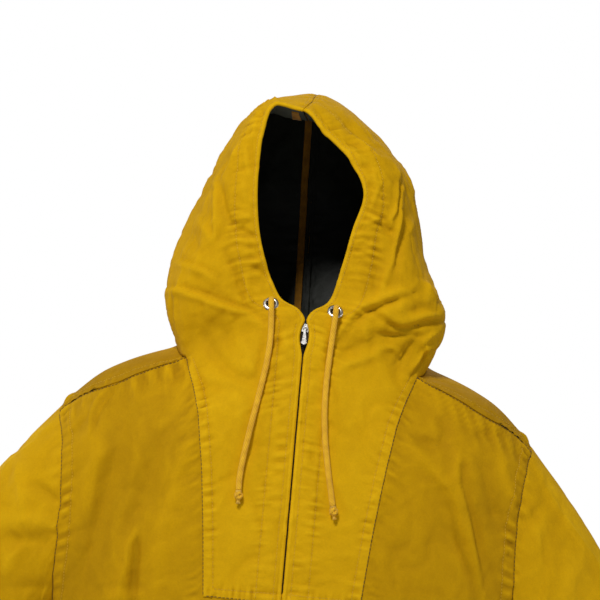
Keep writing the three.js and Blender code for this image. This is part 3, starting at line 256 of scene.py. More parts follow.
# Line on each sleeve, in the front view, above which the cloth is painted paler
PALE_SLEEVE_LINE = {
    -1: ((-255, -78), (-282, -113), (-320, -155), (-340, -176), (-400, -250)),
    1: ((263, -90), (288, -131), (311, -161), (347, -202), (371, -233), (410, -290)),
}

# Hanging cords, from inside the eyelet to the knot
CORD_PATHS = {
    -1: (
        (-38.2, -84.5, 55.5), (-38.1, -88.5, 58.3), (-38, -94.5, 61), (-37.6, -99.5, 57.5),
        (-36.9, -100.6, 49), (-36, -100.5, 38), (-35.4, -101, 26), (-35.5, -104, 12), (-36.6, -107.4, -3),
        (-38.6, -110.8, -18), (-41, -115.4, -34), (-43.8, -119.6, -51), (-46.8, -124, -69),
        (-49.8, -127.7, -88), (-52.4, -131, -107), (-54, -134.2, -125), (-53.8, -136.4, -138),
    ),
    1: (
        (30.5, -87.2, 53), (30.8, -91.2, 55.8), (30.9, -97.2, 58.4), (30.8, -102.2, 54.6),
        (30.5, -102.6, 46), (30, -102.4, 36), (29.2, -102.8, 25), (28.4, -105.6, 11), (27.6, -109.4, -4),
        (27.1, -113.2, -20), (27.1, -117.4, -37), (28.2, -121.8, -57), (30.6, -126, -78), (34, -129.7, -98),
        (38, -133.2, -118), (42, -136.2, -136), (44.2, -137.9, -146),
    ),
}
SIDE_NAME = {-1: "left", 1: "right"}


# Camera, light and floor; each lamp with its place, size and power
LAMPS = (
    ("key", (-0.55, -1.55, 1.6), 0.36, 40.0),
    ("left", (-2.3, -0.7, 0.3), 0.7, 8.0),
    ("right", (2.3, -0.8, 0.5), 0.7, 12.0),
    ("front", (0.3, -2.8, -0.3), 1.2, 3.0),
    ("rim_back", (0.3, 1.9, 1.3), 1.6, 16.0),
    ("rear_left", (-1.9, 1.2, 0.3), 1.4, 9.0),
)


def linked(name, data):
    thing = bpy.data.objects.new(name, data)
    bpy.context.collection.objects.link(thing)
    return thing


def make_camera():
    camera = linked("camera", bpy.data.cameras.new("camera"))
    camera.data.sensor_width = CAMERA["sensor"]
    camera.data.lens = CAMERA["sensor"] * -CAMERA["at"][1] / CAMERA["field"]
    camera.data.clip_end = 50.0
    level = Matrix.Translation(Vector(CAMERA["at"]) * MM) @ Matrix.Rotation(math.pi / 2, 4, "X")
    camera.matrix_world = level @ Matrix.Rotation(math.radians(CAMERA["roll"]), 4, "Z")
    bpy.context.scene.camera = camera
    bpy.context.scene.view_settings.view_transform = "Standard"


def make_lamps():
    for name, at, size, power in LAMPS:
        lamp = linked(name, bpy.data.lights.new(name, "AREA"))
        lamp.data.size = size
        lamp.data.energy = power
        lamp.location = at
        lamp.rotation_euler = (-Vector(at)).to_track_quat("-Z", "Y").to_euler()


def make_world():
    """White behind the garment, and a dim grey that lights it from all sides."""
    world = bpy.data.worlds.new("studio")
    bpy.context.scene.world = world
    world.use_nodes = True
    tree = world.node_tree
    tree.nodes.clear()
    choose = tree.nodes.new("ShaderNodeMixShader")
    ray = tree.nodes.new("ShaderNodeLightPath")
    tree.links.new(ray.outputs["Is Camera Ray"], choose.inputs[0])
    for slot, colour in ((1, (0.13, 0.13, 0.135, 1)), (2, (1, 1, 1, 1))):
        background = tree.nodes.new("ShaderNodeBackground")
        background.inputs["Color"].default_value = colour
        tree.links.new(background.outputs[0], choose.inputs[slot])
    tree.links.new(choose.outputs[0], tree.nodes.new("ShaderNodeOutputWorld").inputs["Surface"])


def make_floor():
    bpy.ops.mesh.primitive_plane_add(size=4.0, location=(0, 0, FLOOR_Z))
    floor = bpy.context.object
    floor.name = "floor"
    paint = bpy.data.materials.new("floor_paint")
    paint.use_nodes = True
    shader = paint.node_tree.nodes["Principled BSDF"]
    shader.inputs["Base Color"].default_value = (0.86, 0.86, 0.85, 1)
    shader.inputs["Roughness"].default_value = 0.8
    floor.data.materials.append(paint)


# Smooth values from the tables, on whole arrays
def track(table, key, column, at):
    xs = np.array(table[key], float)
    ys = np.array(table[column], float)
    if xs[0] > xs[-1]:
        xs, ys = xs[::-1], ys[::-1]
    before = np.concatenate(([0], np.arange(len(xs) - 1)))
    after = np.concatenate((np.arange(1, len(xs)), [len(xs) - 1]))
    slopes = (ys[after] - ys[before]) / (xs[after] - xs[before])
    at = np.asarray(at, float)
    i = np.clip(np.searchsorted(xs, at, side="right") - 1, 0, len(xs) - 2)
    span = xs[i + 1] - xs[i]
    t = np.clip((at - xs[i]) / span, 0, 1)
    p, q, m, n = ys[i], ys[i + 1], slopes[i] * span, slopes[i + 1] * span
    return p + m * t + (3 * (q - p) - 2 * m - n) * t**2 + (2 * (p - q) + m + n) * t**3


def mix(a, b, t):
    return a + (b - a) * t


def bell(distance, reach):
    """1 at no distance, falling off smoothly over the reach."""
    return np.exp(-((distance / reach) ** 2))


def fade(value, start, reach=1.0):
    """0 up to the start, 1 from the reach beyond it."""
    return np.clip((value - start) / reach, 0, 1)


def unit(vectors):
    return vectors / np.maximum(np.linalg.norm(vectors, axis=-1, keepdims=True), 1e-9)


def section_share(x, z):
    s = np.clip(np.abs(x) / track(BODY, "z", "width", z), 0, 1)
    return (1 - s**SECTION_POWER) ** (1 / SECTION_POWER)


def front_top(x):
    return track(SHOULDER, "x", "front", np.abs(x))


def front_y(x, z):
    t = np.clip((front_top(x) - z) / SHOULDER_ROLL, 0, 1)
    return -track(BODY, "z", "front", z) * section_share(x, z) * np.sqrt(1 - (1 - t) ** 2)


def side_x(z):
    return np.where(z > ARMHOLE["z"][-1], track(ARMHOLE, "z", "x", z), track(BODY, "z", "width", z))


def spread_x(z, share, inner_x):
    width = track(BODY, "z", "width", z)

    def angle(x):
        return np.arccos(np.clip(x / width, 0, 1) ** (SECTION_POWER / 2))

    return width * np.cos(mix(angle(side_x(z)), angle(inner_x), share)) ** (2 / SECTION_POWER)


def beyond(p, q):
    return 2 * p - q


def hood_net(side):
    rows = []
    for k in range(4, -1, -1):
        seam_x = LEVELS["seamX"][k]
        line = []
        for x in (ZIP_HALF_GAP, 27, mix(27, seam_x, 0.5), seam_x):
            z = mix(LEVELS["middle"][k], LEVELS["seam"][k], (x / seam_x) ** 1.3)
            line.append(np.array((side * x, float(front_y(x, z)), z)))
        if k == 0:
            line += [np.array((side * x, y, z), float) for x, y, z in NECK_BACK]
        while len(line) < 7:
            line.append(beyond(line[-1], line[-2]))
        rows.append(line)
    for form, (quarter, centre) in zip(HOOD_FORM[side], HOOD_BACK):
        line = [np.array(p, float) for p in form]
        line.append(np.array((side * quarter[0] + centre[0], quarter[1], quarter[2]), float))
        line.append(np.array(centre, float))
        rows.append(line)
    rows.append([np.array(p, float) for p in HOOD_RIDGE])
    net = np.array(rows)
    mirror_row = net[-2] * (-1, 1, 1) + net[-1] * (2, 0, 0)
    net = np.concatenate(([beyond(net[0], net[1])], net, [mirror_row]))
    mirror_column = net[:, 5] * (-1, 1, 1) + net[:, 6] * (2, 0, 0)
    net = np.concatenate((beyond(net[:, 0], net[:, 1])[:, None], net, mirror_column[:, None]), axis=1)
    upper = net.copy()
    for column in range(5, 9):
        for row in range(0, 5):
            upper[row, column] = beyond(net[5, column], net[6, column])
    return net, upper


NETS = {side: hood_net(side) for side in (-1, 1)}


def weights(t):
    t = np.asarray(t, float)[..., None]
    powers = np.concatenate((np.ones_like(t), t, t**2, t**3), axis=-1)
    basis = np.array(((0, -0.5, 1, -0.5), (1, 0, -2.5, 1.5), (0, 0.5, 2, -1.5), (0, 0, -0.5, 0.5)))
    return powers @ basis.T


def hood_point(side, column, row):
    column, row = np.broadcast_arrays(np.asarray(column, float), np.asarray(row, float))
    lower, upper = NETS[side]
    j = np.clip(np.floor(row + 4).astype(int), 0, 10)
    i = np.clip(np.floor(column).astype(int), 0, 5)
    wide = weights(column - i)
    tall = weights(row + 4 - j)
    result = np.zeros(column.shape + (3,))
    across = []
    for k in range(4):
        total = 0
        for m in range(4):
            point = np.where((row >= 0)[..., None], upper[j + k, i + m], lower[j + k, i + m])
            total = total + wide[..., m, None] * point
        across.append(total)
    level = row < 0
    across[3] = across[3].copy()
    across[3][..., 0] = np.where(level, 2 * across[2][..., 0] - across[1][..., 0], across[3][..., 0])
    for k in range(4):
        result = result + tall[..., k, None] * across[k]
    return result


def shoulder_bow(x):
    straight = mix(LEVELS["seam"][0], LEVELS["side"][0], (x - 124) / (256 - 124))
    return front_top(x) - track(SHOULDER, "x", "drop", x) - straight


def front_row_z(x, row):
    names = "middle", "seam", "side", "seamX"
    middle, seam, side, seam_x = (track(LEVELS, "at", name, row) for name in names)
    inner = mix(middle, seam, (np.minimum(x, seam_x) / seam_x) ** 1.3)
    reach = side_x(side)
    plain = mix(seam, side, (x - seam_x) / (reach - seam_x))
    bow = shoulder_bow(x) - shoulder_bow(seam_x) * (reach - x) / (reach - seam_x)
    outer = plain + bow * np.clip(1 + row / 3, 0, 1) ** 2
    return np.where(x <= seam_x, inner, outer)


def points(x, y, z):
    return np.stack(np.broadcast_arrays(x, y, z), axis=-1).astype(float)


def front_point(side, share, row):
    share, row = np.broadcast_arrays(np.asarray(share, float), np.asarray(row, float))
    seam_x = track(LEVELS, "at", "seamX", row)
    guess = mix(track(LEVELS, "at", "side", row), track(LEVELS, "at", "seam", row), share)
    x = np.where(share >= 1, seam_x, spread_x(guess, share, seam_x))
    z = front_row_z(x, row)
    own = points(side * x, front_y(x, z), z)
    seam_z = front_row_z(seam_x, row)
    edge = points(side * seam_x, front_y(seam_x, seam_z), seam_z)
    lift = (hood_point(side, 3.0, np.maximum(row, -4)) - edge) * (share**3)[..., None]
    return own + np.where((row >= -4)[..., None], lift, 0)


def lower_front_point(side, share, row):
    share, row = np.broadcast_arrays(np.asarray(share, float), np.asarray(row, float))
    seam_x = track(LEVELS, "at", "seamX", row)
    shape = hood_point(side, 3 * (1 - share), -4.0)
    x = np.abs(shape[..., 0]) / LEVELS["seamX"][4] * seam_x * np.where(share >= 1, 0, 1)
    z = front_row_z(x, row)
    own = points(side * x, front_y(x, z), z)
    return np.where((row >= -4)[..., None], points(side * x, shape[..., 1], shape[..., 2]), own)


ROLL_END, NECK_ROW, NECK_X = 4.0, 3.0, 120.0
SHOULDER_TIP_Z, ROLL_FOOT_Z, UNDERARM_Z = -73.0, -168.0, -330.0


def back_at(side, x, row):
    top = track(SHOULDER, "x", "back", x)
    start = -np.arccos(1 - track(SHOULDER, "x", "drop", x) / SHOULDER_ROLL)
    turn = mix(start, math.pi / 2, np.clip(row / ROLL_END, 0, 1))
    roll_z = top - SHOULDER_ROLL * (1 - np.cos(turn))
    z = np.where(row <= ROLL_END, roll_z, mix(roll_z, UNDERARM_Z, row - ROLL_END))
    depth = np.where(turn < 0, track(BODY, "z", "front", z), track(BODY, "z", "back", z))
    y = depth * section_share(x, z) * np.where(row < ROLL_END, np.sin(turn), 1)
    return points(side * x, y, z)


def back_below(side, x, z):
    return points(side * x, track(BODY, "z", "back", z) * section_share(x, z), z)


def back_point(side, share, row):
    share, row = np.broadcast_arrays(np.asarray(share, float), np.asarray(row, float))
    rolling = mix(SHOULDER_TIP_Z, ROLL_FOOT_Z, np.clip(row / ROLL_END, 0, 1) ** 2)
    level = np.where(row <= ROLL_END, rolling, mix(ROLL_FOOT_Z, UNDERARM_Z, np.clip(row - ROLL_END, 0, 1)))
    inner = mix(LEVELS["seamX"][0], NECK_X, np.clip(row / NECK_ROW, 0, 1))
    upper = back_at(side, spread_x(level, share, inner), np.minimum(row, 5))
    side_z = track(LEVELS, "at", "side", -np.maximum(row, 5))
    lower = back_below(side, spread_x(side_z, share, NECK_X), side_z)
    body = np.where((row >= 5)[..., None], lower, upper)
    start = front_point(side, share, 0.0)
    return np.where((row < 0.02)[..., None], start, body)


def neck_fade(row):
    return np.where(row <= NECK_ROW, 1, np.clip(1 - (row - NECK_ROW) / 1.6, 0, 1) ** 2)


def back_block(side, share, row):
    share, row = np.broadcast_arrays(np.asarray(share, float), np.asarray(row, float))
    held = np.minimum(row, NECK_ROW)
    lift = hood_point(side, 3 + held / 2, 0.0) - back_point(side, 1.0, held)
    settle = front_point(side, share, 0.0) - back_point(side, share, 0.03)
    easing = neck_fade(row) * share**3
    start = settle * (np.clip(1 - row, 0, 1) ** 2 * (row >= 0.02))[..., None]
    return back_point(side, share, row) + lift * easing[..., None] + start


def back_middle(side, share, row):
    share, row = np.broadcast_arrays(np.asarray(share, float), np.asarray(row, float))
    seam = hood_point(side, 4.5 + 1.5 * share, 0.0)
    edge = back_point(side, 1.0, row)
    x = np.abs(edge[..., 0]) * (1 - share)
    upper = back_at(side, x, np.minimum(row, 5))
    own = np.where((row >= 5)[..., None], back_below(side, x, edge[..., 2]), upper)
    start = back_at(side, NECK_X * (1 - share), np.full_like(row, NECK_ROW))
    return own + (seam - start) * neck_fade(row)[..., None]


def fold_lift(folds, x, z, steep=False):
    """Heights of straight folds; steep ones lean over to one side and bend a little, as cloth does."""
    lift = np.zeros_like(x)
    for ax, az, bx, bz, width, height in folds:
        dx, dz = bx - ax, bz - az
        length = math.hypot(dx, dz)
        along = ((x - ax) * dx + (z - az) * dz) / length**2
        aside = ((x - ax) * dz - (z - az) * dx) / length
        arch = np.sin(np.pi * np.clip(along, 0, 1))
        near = (along > 0) & (along < 1)
        if steep:
            aside = aside + math.sin(ax * 0.7 + bz * 0.3) * 0.06 * length * arch
            reach = width * np.where(aside > 0, 1.35, 0.75)
            shape = 0.55 * bell(aside, reach) + 0.45 * np.exp(-np.abs(aside) / (0.8 * reach))
        else:
            near &= np.abs(aside) < 3 * width
            shape = bell(aside, width)
        lift += np.where(near, height * np.sqrt(arch) * shape, 0)
    return lift


# Meshes from grids
def grid_normals(grid, wrap=False):
    if wrap:
        closed = np.concatenate((grid[:, -1:], grid, grid[:, :1]), axis=1)
        du = np.gradient(closed, axis=1)[:, 1:-1]
    else:
        du = np.gradient(grid, axis=1)
    dv = np.gradient(grid, axis=0)
    return unit(np.cross(du, dv))


def cells_between(rows, columns, last):
    """Corner numbers of a grid's cells; where last is the number of columns, they close round."""
    j, i = np.meshgrid(np.arange(rows - 1), np.arange(last), indexing="ij")
    right = (i + 1) % columns
    below, above = j * columns, (j + 1) * columns
    return np.stack((below + i, below + right, above + right, above + i), axis=-1)


def made(name, places, faces, looks, smooth=True):
    """An object of faces between points given in millimetres."""
    mesh = bpy.data.meshes.new(name)
    mesh.from_pydata((np.asarray(places) * MM).tolist(), [], faces)
    for look in looks:
        mesh.materials.append(LOOK[look])
    mesh.polygons.foreach_set("use_smooth", np.full(len(mesh.polygons), smooth))
    mesh.update()
    return linked(name, mesh)


def lay_uv(mesh, uv):
    """Gives each corner of each face its point's place on the flat cloth, in metres."""
    index = np.empty(len(mesh.loops), np.int32)
    mesh.loops.foreach_get("vertex_index", index)
    flat = mesh.uv_layers.new(name="cloth")
    flat.data.foreach_set("uv", (uv[index] * MM).ravel().astype(np.float32))


def fitted(piece, node=None, body=BODY_NODE):
    """Puts the piece on its body and in the place of its CAD node."""
    if node:
        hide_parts(node)
    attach(piece, body)


def shell(name, grid, normal, keep, wrap, thick, looks, painted_light):
    """A thin closed shell: outer face, inner face in the second look, and rims."""
    rows, columns = grid.shape[:2]
    outer = grid.reshape(-1, 3)
    inner = (grid - normal * thick).reshape(-1, 3)
    count = rows * columns
    cells = cells_between(rows, columns, columns if wrap else columns - 1)
    cells = cells.reshape(-1, 4) if keep is None else cells[keep]
    first = cells[len(cells) // 2]
    a, b, c, d = (outer[k] for k in first)
    if np.dot(np.cross(c - a, d - b), normal.reshape(-1, 3)[first[0]]) < 0:
        cells = cells[:, ::-1]
    starts = cells.ravel()
    ends = np.roll(cells, -1, axis=1).ravel()
    lone = ~np.isin(starts * count + ends, ends * count + starts)
    p, q = starts[lone], ends[lone]
    faces = np.concatenate((cells, cells[:, ::-1] + count, np.stack((q, p, p + count, q + count), axis=-1)))
    needed, compact = np.unique(faces, return_inverse=True)
    piece = made(name, np.concatenate((outer, inner))[needed], compact.reshape(faces.shape).tolist(), looks)
    slots = np.repeat((0, 1, 0), (len(cells), len(cells), len(p)))
    piece.data.polygons.foreach_set("material_index", slots.astype(np.int32))
    uv = np.stack([curve_lengths(grid, axis).ravel() for axis in (1, 0)], axis=-1)
    lay_uv(piece.data, np.tile(uv, (2, 1))[needed])
    # The lift attribute carries painted light: the tone that paints the cloth paler or darker
    heights = piece.data.attributes.new("lift", "FLOAT", "POINT")
    heights.data.foreach_set("value", np.tile(painted_light.ravel(), 2)[needed].astype(np.float32))
    return piece


def pucker(distance, along, seed, spacing, reach, height, centre):
    """Uneven cross wrinkles along a seam, strongest at the centre beside it."""
    rng = np.random.default_rng(seed)
    value = np.zeros_like(distance)
    for _ in range(4):
        pitch = spacing * rng.uniform(0.6, 1.6)
        phase = rng.uniform(0, 2 * math.pi)
        drift = rng.uniform(-0.12, 0.12)
        value += np.cos(2 * math.pi * along / pitch + phase + drift * distance) / 2.4
    breaks = 0.65 + 0.35 * np.sin(along / (spacing * 2.3) + seed)
    return height * value * breaks * bell(distance - centre, reach)


def held(distance, over=3.5):
    """0 on a seam, 1 a little way from it, so that the panels meet there."""
    return np.clip(distance / over, 0, 1)


# Materials
class Shading:
    """A procedural material put together from a few named parts."""

    def __init__(self, name, roughness, metallic=0.0, sheen=0.0):
        self.material = bpy.data.materials.new(name)
        self.material.use_nodes = True
        self.tree = self.material.node_tree
        self.shader = self.tree.nodes["Principled BSDF"]
        self.shader.inputs["Roughness"].default_value = roughness
        self.shader.inputs["Metallic"].default_value = metallic
        self.shader.inputs["Sheen Weight"].default_value = sheen
        self.shader.inputs["Sheen Roughness"].default_value = 0.45
        self.normal = None

    def node(self, kind, **settings):
        node = self.tree.nodes.new("ShaderNode" + kind)
        for key, value in settings.items():
            setattr(node, key, value)
        return node

    def link(self, a, b):
        self.tree.links.new(a, b)

    def place(self, kind):
        return self.node("TexCoord").outputs[kind]

    def noise(self, vector, scale, detail=3.0, roughness=0.55, distortion=0.0):
        node = self.node("TexNoise")
        self.link(vector, node.inputs["Vector"])
        node.inputs["Scale"].default_value = scale
        node.inputs["Detail"].default_value = detail
        node.inputs["Roughness"].default_value = roughness
        node.inputs["Distortion"].default_value = distortion
        return node.outputs["Fac"]

    def ridges(self, vector, scale, detail=2.0):
        node = self.node("TexNoise", noise_type="RIDGED_MULTIFRACTAL")
        self.link(vector, node.inputs["Vector"])
        node.inputs["Scale"].default_value = scale
        node.inputs["Detail"].default_value = detail
        node.inputs["Distortion"].default_value = 0.5
        return node.outputs["Fac"]

    def wave(self, vector, period, direction, distortion=0.0):
        node = self.node("TexWave", bands_direction=direction)
        self.link(vector, node.inputs["Vector"])
        node.inputs["Scale"].default_value = 2 * math.pi / (20 * period)
        node.inputs["Distortion"].default_value = distortion
        return node.outputs["Fac"]

    def ramp(self, value, stops):
        node = self.node("ValToRGB")
        self.link(value, node.inputs["Fac"])
        ramp = node.color_ramp
        while len(ramp.elements) < len(stops):
            ramp.elements.new(0.5)
        for element, (at, colour) in zip(ramp.elements, stops):
            element.position = at
            element.color = (*colour, 1) if hasattr(colour, "__len__") else (colour, colour, colour, 1)
        return node.outputs["Color"]

    def blend(self, a, b, amount, mode="MIX"):
        node = self.node("Mix", data_type="RGBA", blend_type=mode)
        node.inputs[0].default_value = amount
        self.link(a, node.inputs[6])
        self.link(b, node.inputs[7])
        return node.outputs[2]

    def bump(self, height, strength, distance):
        node = self.node("Bump")
        node.inputs["Strength"].default_value = strength
        node.inputs["Distance"].default_value = distance
        self.link(height, node.inputs["Height"])
        if self.normal is not None:
            self.link(self.normal, node.inputs["Normal"])
        self.normal = node.outputs["Normal"]

    def done(self, colour):
        self.link(colour, self.shader.inputs["Base Color"])
        self.link(self.normal, self.shader.inputs["Normal"])
        return self.material


def linear(*rgb):
    """A screen colour with parts up to 255, as the renderer's linear light."""
    shares = (part / 255 for part in rgb)
    return tuple(c / 12.92 if c <= 0.04045 else ((c + 0.055) / 1.055) ** 2.4 for c in shares)


def cloth_material():
    s = Shading("cotton_shell", 0.82, sheen=0.04)
    s.shader.inputs["Sheen Tint"].default_value = (*linear(255, 200, 20), 1)
    s.shader.inputs["Specular IOR Level"].default_value = 0.10
    here = s.place("Object")
    weave = s.place("UV")
    broad = s.ramp(s.noise(here, 9, 3), ((0.3, linear(200, 150, 0)), (0.72, linear(213, 163, 0))))
    mottled = s.ramp(s.noise(here, 75, 5, 0.65), ((0.32, linear(184, 136, 0)), (0.7, linear(222, 172, 0))))
    base = s.blend(broad, mottled, 0.45)
    # Painted highlight and shade from the lift attribute: paler on raised folds, puckers and seam layers,
    # darker in troughs and grooves, with set amounts for whole panels
    painted_light_stops = (0.0, linear(140, 98, 0)), (0.5, linear(206, 156, 0)), (1.0, linear(240, 190, 14))
    painted_light_colour = s.ramp(s.node("Attribute", attribute_name="lift").outputs["Fac"], painted_light_stops)
    colour = s.blend(base, painted_light_colour, 0.55)
    threads = s.blend(s.wave(weave, 0.0011, "X", 1.5), s.wave(weave, 0.0011, "Y", 1.5), 0.5)
    colour = s.blend(colour, s.ramp(threads, ((0.2, 0.86), (0.8, 1.0))), 0.5, "MULTIPLY")
    grain = s.ramp(s.noise(here, 520, 4, 0.7), ((0.3, 0.80), (0.7, 1.0)))
    colour = s.blend(colour, grain, 0.55, "MULTIPLY")
    s.bump(s.ridges(here, 16, 2), 0.5, 0.0024)
    s.bump(s.noise(here, 34, 4, 0.5, 0.6), 0.42, 0.0026)
    s.bump(s.noise(here, 130, 4, 0.6, 0.4), 0.34, 0.0010)
    s.bump(threads, 0.18, 0.0003)
    return s.done(colour)


def interior_material(name, low, high, roughness=0.62):
    s = Shading(name, roughness)
    s.shader.inputs["Specular IOR Level"].default_value = 0.25
    here = s.place("Object")
    colour = s.ramp(s.noise(here, 40, 4), ((0.3, low), (0.75, high)))
    s.bump(s.noise(here, 55, 4, 0.6, 0.5), 0.35, 0.0016)
    s.bump(s.wave(s.place("UV"), 0.0012, "X", 1.0), 0.12, 0.0003)
    return s.done(colour)


def woven_material(name, low, high, period):
    s = Shading(name, 0.85, sheen=0.12)
    here = s.place("Object")
    threads = s.wave(s.place("UV"), period, "DIAGONAL", 0.8)
    s.bump(threads, 0.5, 0.0004)
    colour = s.ramp(s.noise(here, 130, 4), ((0.3, low), (0.75, high)))
    return s.done(s.blend(colour, s.ramp(threads, ((0.1, 0.72), (0.8, 1.0))), 0.6, "MULTIPLY"))


def metal_material():
    s = Shading("worn_metal", 0.3, metallic=1.0)
    here = s.place("Object")
    rough = s.ramp(s.noise(here, 900, 4), ((0.3, 0.22), (0.75, 0.46)))
    s.link(rough, s.shader.inputs["Roughness"])
    s.bump(s.noise(here, 1500, 3), 0.15, 0.0001)
    return s.done(s.ramp(s.noise(here, 400, 3), ((0.3, (0.48, 0.46, 0.42)), (0.7, (0.74, 0.72, 0.67)))))


LOOK = {
    "cloth": cloth_material(),
    "inside": interior_material("coated_inside", (0.0085, 0.0095, 0.0058), (0.0205, 0.0215, 0.0150)),
    "facing": interior_material("facing_band", (0.045, 0.047, 0.034), (0.085, 0.088, 0.066), 0.7),
    "seam_tape": woven_material("seam_tape", linear(150, 98, 0), linear(186, 124, 4), 0.0011),
    "zip_tape": woven_material("zip_tape", linear(44, 30, 16), linear(70, 50, 28), 0.0010),
    "cord": woven_material("braided_cord", linear(214, 158, 8), linear(240, 186, 22), 0.0016),
    "cord_pale": woven_material("cord_whipping", linear(222, 176, 60), linear(244, 206, 96), 0.0010),
    "thread": woven_material("stitch_thread", linear(206, 160, 16), linear(232, 186, 30), 0.0006),
    "metal": metal_material(),
    "dark_metal": interior_material("dark_teeth", (0.012, 0.009, 0.006), (0.03, 0.024, 0.016), 0.4),
    # Painted shade: dark thread for the shadow line down in the seams
    "seam_shadow_thread": woven_material("seam_shadow_thread", linear(70, 46, 8), linear(112, 78, 10), 0.0008),
}


# Pieces
def curve_lengths(grid, axis):
    step = np.linalg.norm(np.diff(grid, axis=axis), axis=-1)
    zero = np.zeros_like(np.take(step, [0], axis=axis))
    return np.concatenate((zero, np.cumsum(step, axis=axis)), axis=axis)


def as_seen(grid):
    """Places of points as they show from the front, where the folds were drawn."""
    x, y, z = CAMERA["at"]
    near = y / (y - grid[..., 1])
    return mix(x, grid[..., 0], near), mix(z, grid[..., 2], near)


def crease_lift(creases, x, z, roll=False):
    """Lift of bent creases: distance to the nearest part of each line, fading at its ends."""
    lift = np.zeros_like(x)
    for width, height, line in creases:
        line = np.array(line, float)
        low, high = line.min(0) - 3.2 * width, line.max(0) + 3.2 * width
        near = (x > low[0]) & (x < high[0]) & (z > low[1]) & (z < high[1])
        if not near.any():
            continue
        place = np.stack((x[near], z[near]), axis=-1)
        steps = np.diff(line, axis=0)
        lengths = np.linalg.norm(steps, axis=1)
        before = np.concatenate(([0], np.cumsum(lengths)))
        best = np.full(len(place), np.inf)
        aside, along = np.zeros((2, len(place)))
        for start, step, length, base in zip(line, steps, lengths, before):
            t = np.clip(((place - start) @ step) / length**2, 0, 1)
            away = place - start - t[:, None] * step
            gap = np.linalg.norm(away, axis=1)
            closer = gap < best
            turn = np.sign(step[0] * away[:, 1] - step[1] * away[:, 0])
            best = np.where(closer, gap, best)
            aside = np.where(closer, gap * turn, aside)
            along = np.where(closer, (base + t * length) / before[-1], along)
        taper = np.sqrt(np.sin(np.pi * np.clip(along * 0.94 + 0.03, 0, 1)))
        if roll:
            shape = bell(aside - 0.7 * width, 1.3 * width) - 0.9 * bell(aside + 0.55 * width, 0.75 * width)
        else:
            shape = 0.6 * bell(aside, width) + 0.4 * np.exp(-np.abs(aside) / (0.7 * width))
        lift[near] += height * taper * shape
    return lift


def crumple(grid):
    """Small uneven creases all over the cloth, the same at the same place on every panel."""
    rng = np.random.default_rng(17)
    full_turn = 6.3
    warp = np.zeros(grid.shape)
    for _ in range(5):
        wave = rng.normal(size=3) * 0.035
        warp += np.sin(grid @ wave + rng.uniform(0, full_turn))[..., None] * rng.normal(size=3) * 9
    total = np.zeros(grid.shape[:-1])
    for length, height in ((74, 1.3), (52, 1.0), (38, 0.85), (27, 0.7), (19, 0.5)):
        for _ in range(3):
            direction = rng.normal(size=3)
            direction /= np.linalg.norm(direction)
            phase = (grid + warp) @ direction * (math.pi / length) + rng.uniform(0, full_turn)
            patch = grid @ (rng.normal(size=3) * 0.02) + rng.uniform(0, full_turn)
            mask = np.clip(0.35 + 0.9 * np.sin(patch), 0, 1)
            total += height * (1 - np.abs(np.sin(phase))) ** 3.2 * mask * rng.choice((-1, 1))
    return total


# Places that stay flat, such as round the eyelets: centre in the front view and reach
CALM = ((-38.2, 56, 11), (30.4, 53.5, 11), (0, 30, 7))
AXIS = np.array((0, 10, 0))
HOOD_CENTRE = np.array((0, 30, 110.0))


def calm(grid):
    share = np.ones(grid.shape[:-1])
    for x, z, reach in CALM:
        away = np.hypot(grid[..., 0] - x, grid[..., 2] - z)
        share *= np.where(grid[..., 1] < -60, np.clip((away - reach) / 9, 0, 1), 1)
    return share


def draped(grid, normal, along_normal):
    """Moves points by the folds of the front or back, which fade out towards the sides."""
    x, y, z = np.moveaxis(grid, -1, 0)
    seen = as_seen(grid)
    front, back = fade(-y, 6, 34), fade(y, 6, 34)
    lift = fold_lift(MAIN_FOLDS, x, z) * front * np.where(z < -300, 1, 0.35)
    lift += (fold_lift(FINE_FOLDS, *seen, steep=True) + 1.85 * crease_lift(CREASES, *seen)) * front
    lift += 1.7 * crease_lift(ROLLS, *seen, roll=True) * front
    lift += (fold_lift(BACK_FOLDS, x, z) + 1.5 * fold_lift(FINE_BACK_FOLDS, x, z, steep=True)) * back
    lift += crumple(grid) * np.where(z < -330, 1.5, 1.2) * np.maximum(fade(np.abs(y), 0, 25), along_normal)
    lift *= calm(grid)
    # Plain way out: forward or back in the middle, turning sideways near the armholes
    turn = (x / 250) ** 3
    plain = unit(np.stack((turn, np.where(y < 0, -1.0, 1.0), np.zeros_like(x)), axis=-1))
    direction = unit(mix(plain, normal, along_normal[..., None]))
    return grid + direction * lift[..., None], lift


def outward_normals(grid, wrap=False, centre=None):
    """Normals that point away from the centre, or from the upright axis through AXIS."""
    normal = grid_normals(grid, wrap)
    about = grid - AXIS - grid * (0, 0, 1) if centre is None else grid - centre
    return -normal if np.nansum(np.einsum("...k,...k", normal, about)) < 0 else normal


def groove(distance, depth, reach=1.1):
    return -depth * bell(distance, reach)


def layer(distance, width):
    """1 where a second layer of cloth lies under the panel, up to the width from its edge."""
    return np.clip(1 - np.maximum(distance - width, 0) / 1.5, 0, 1)


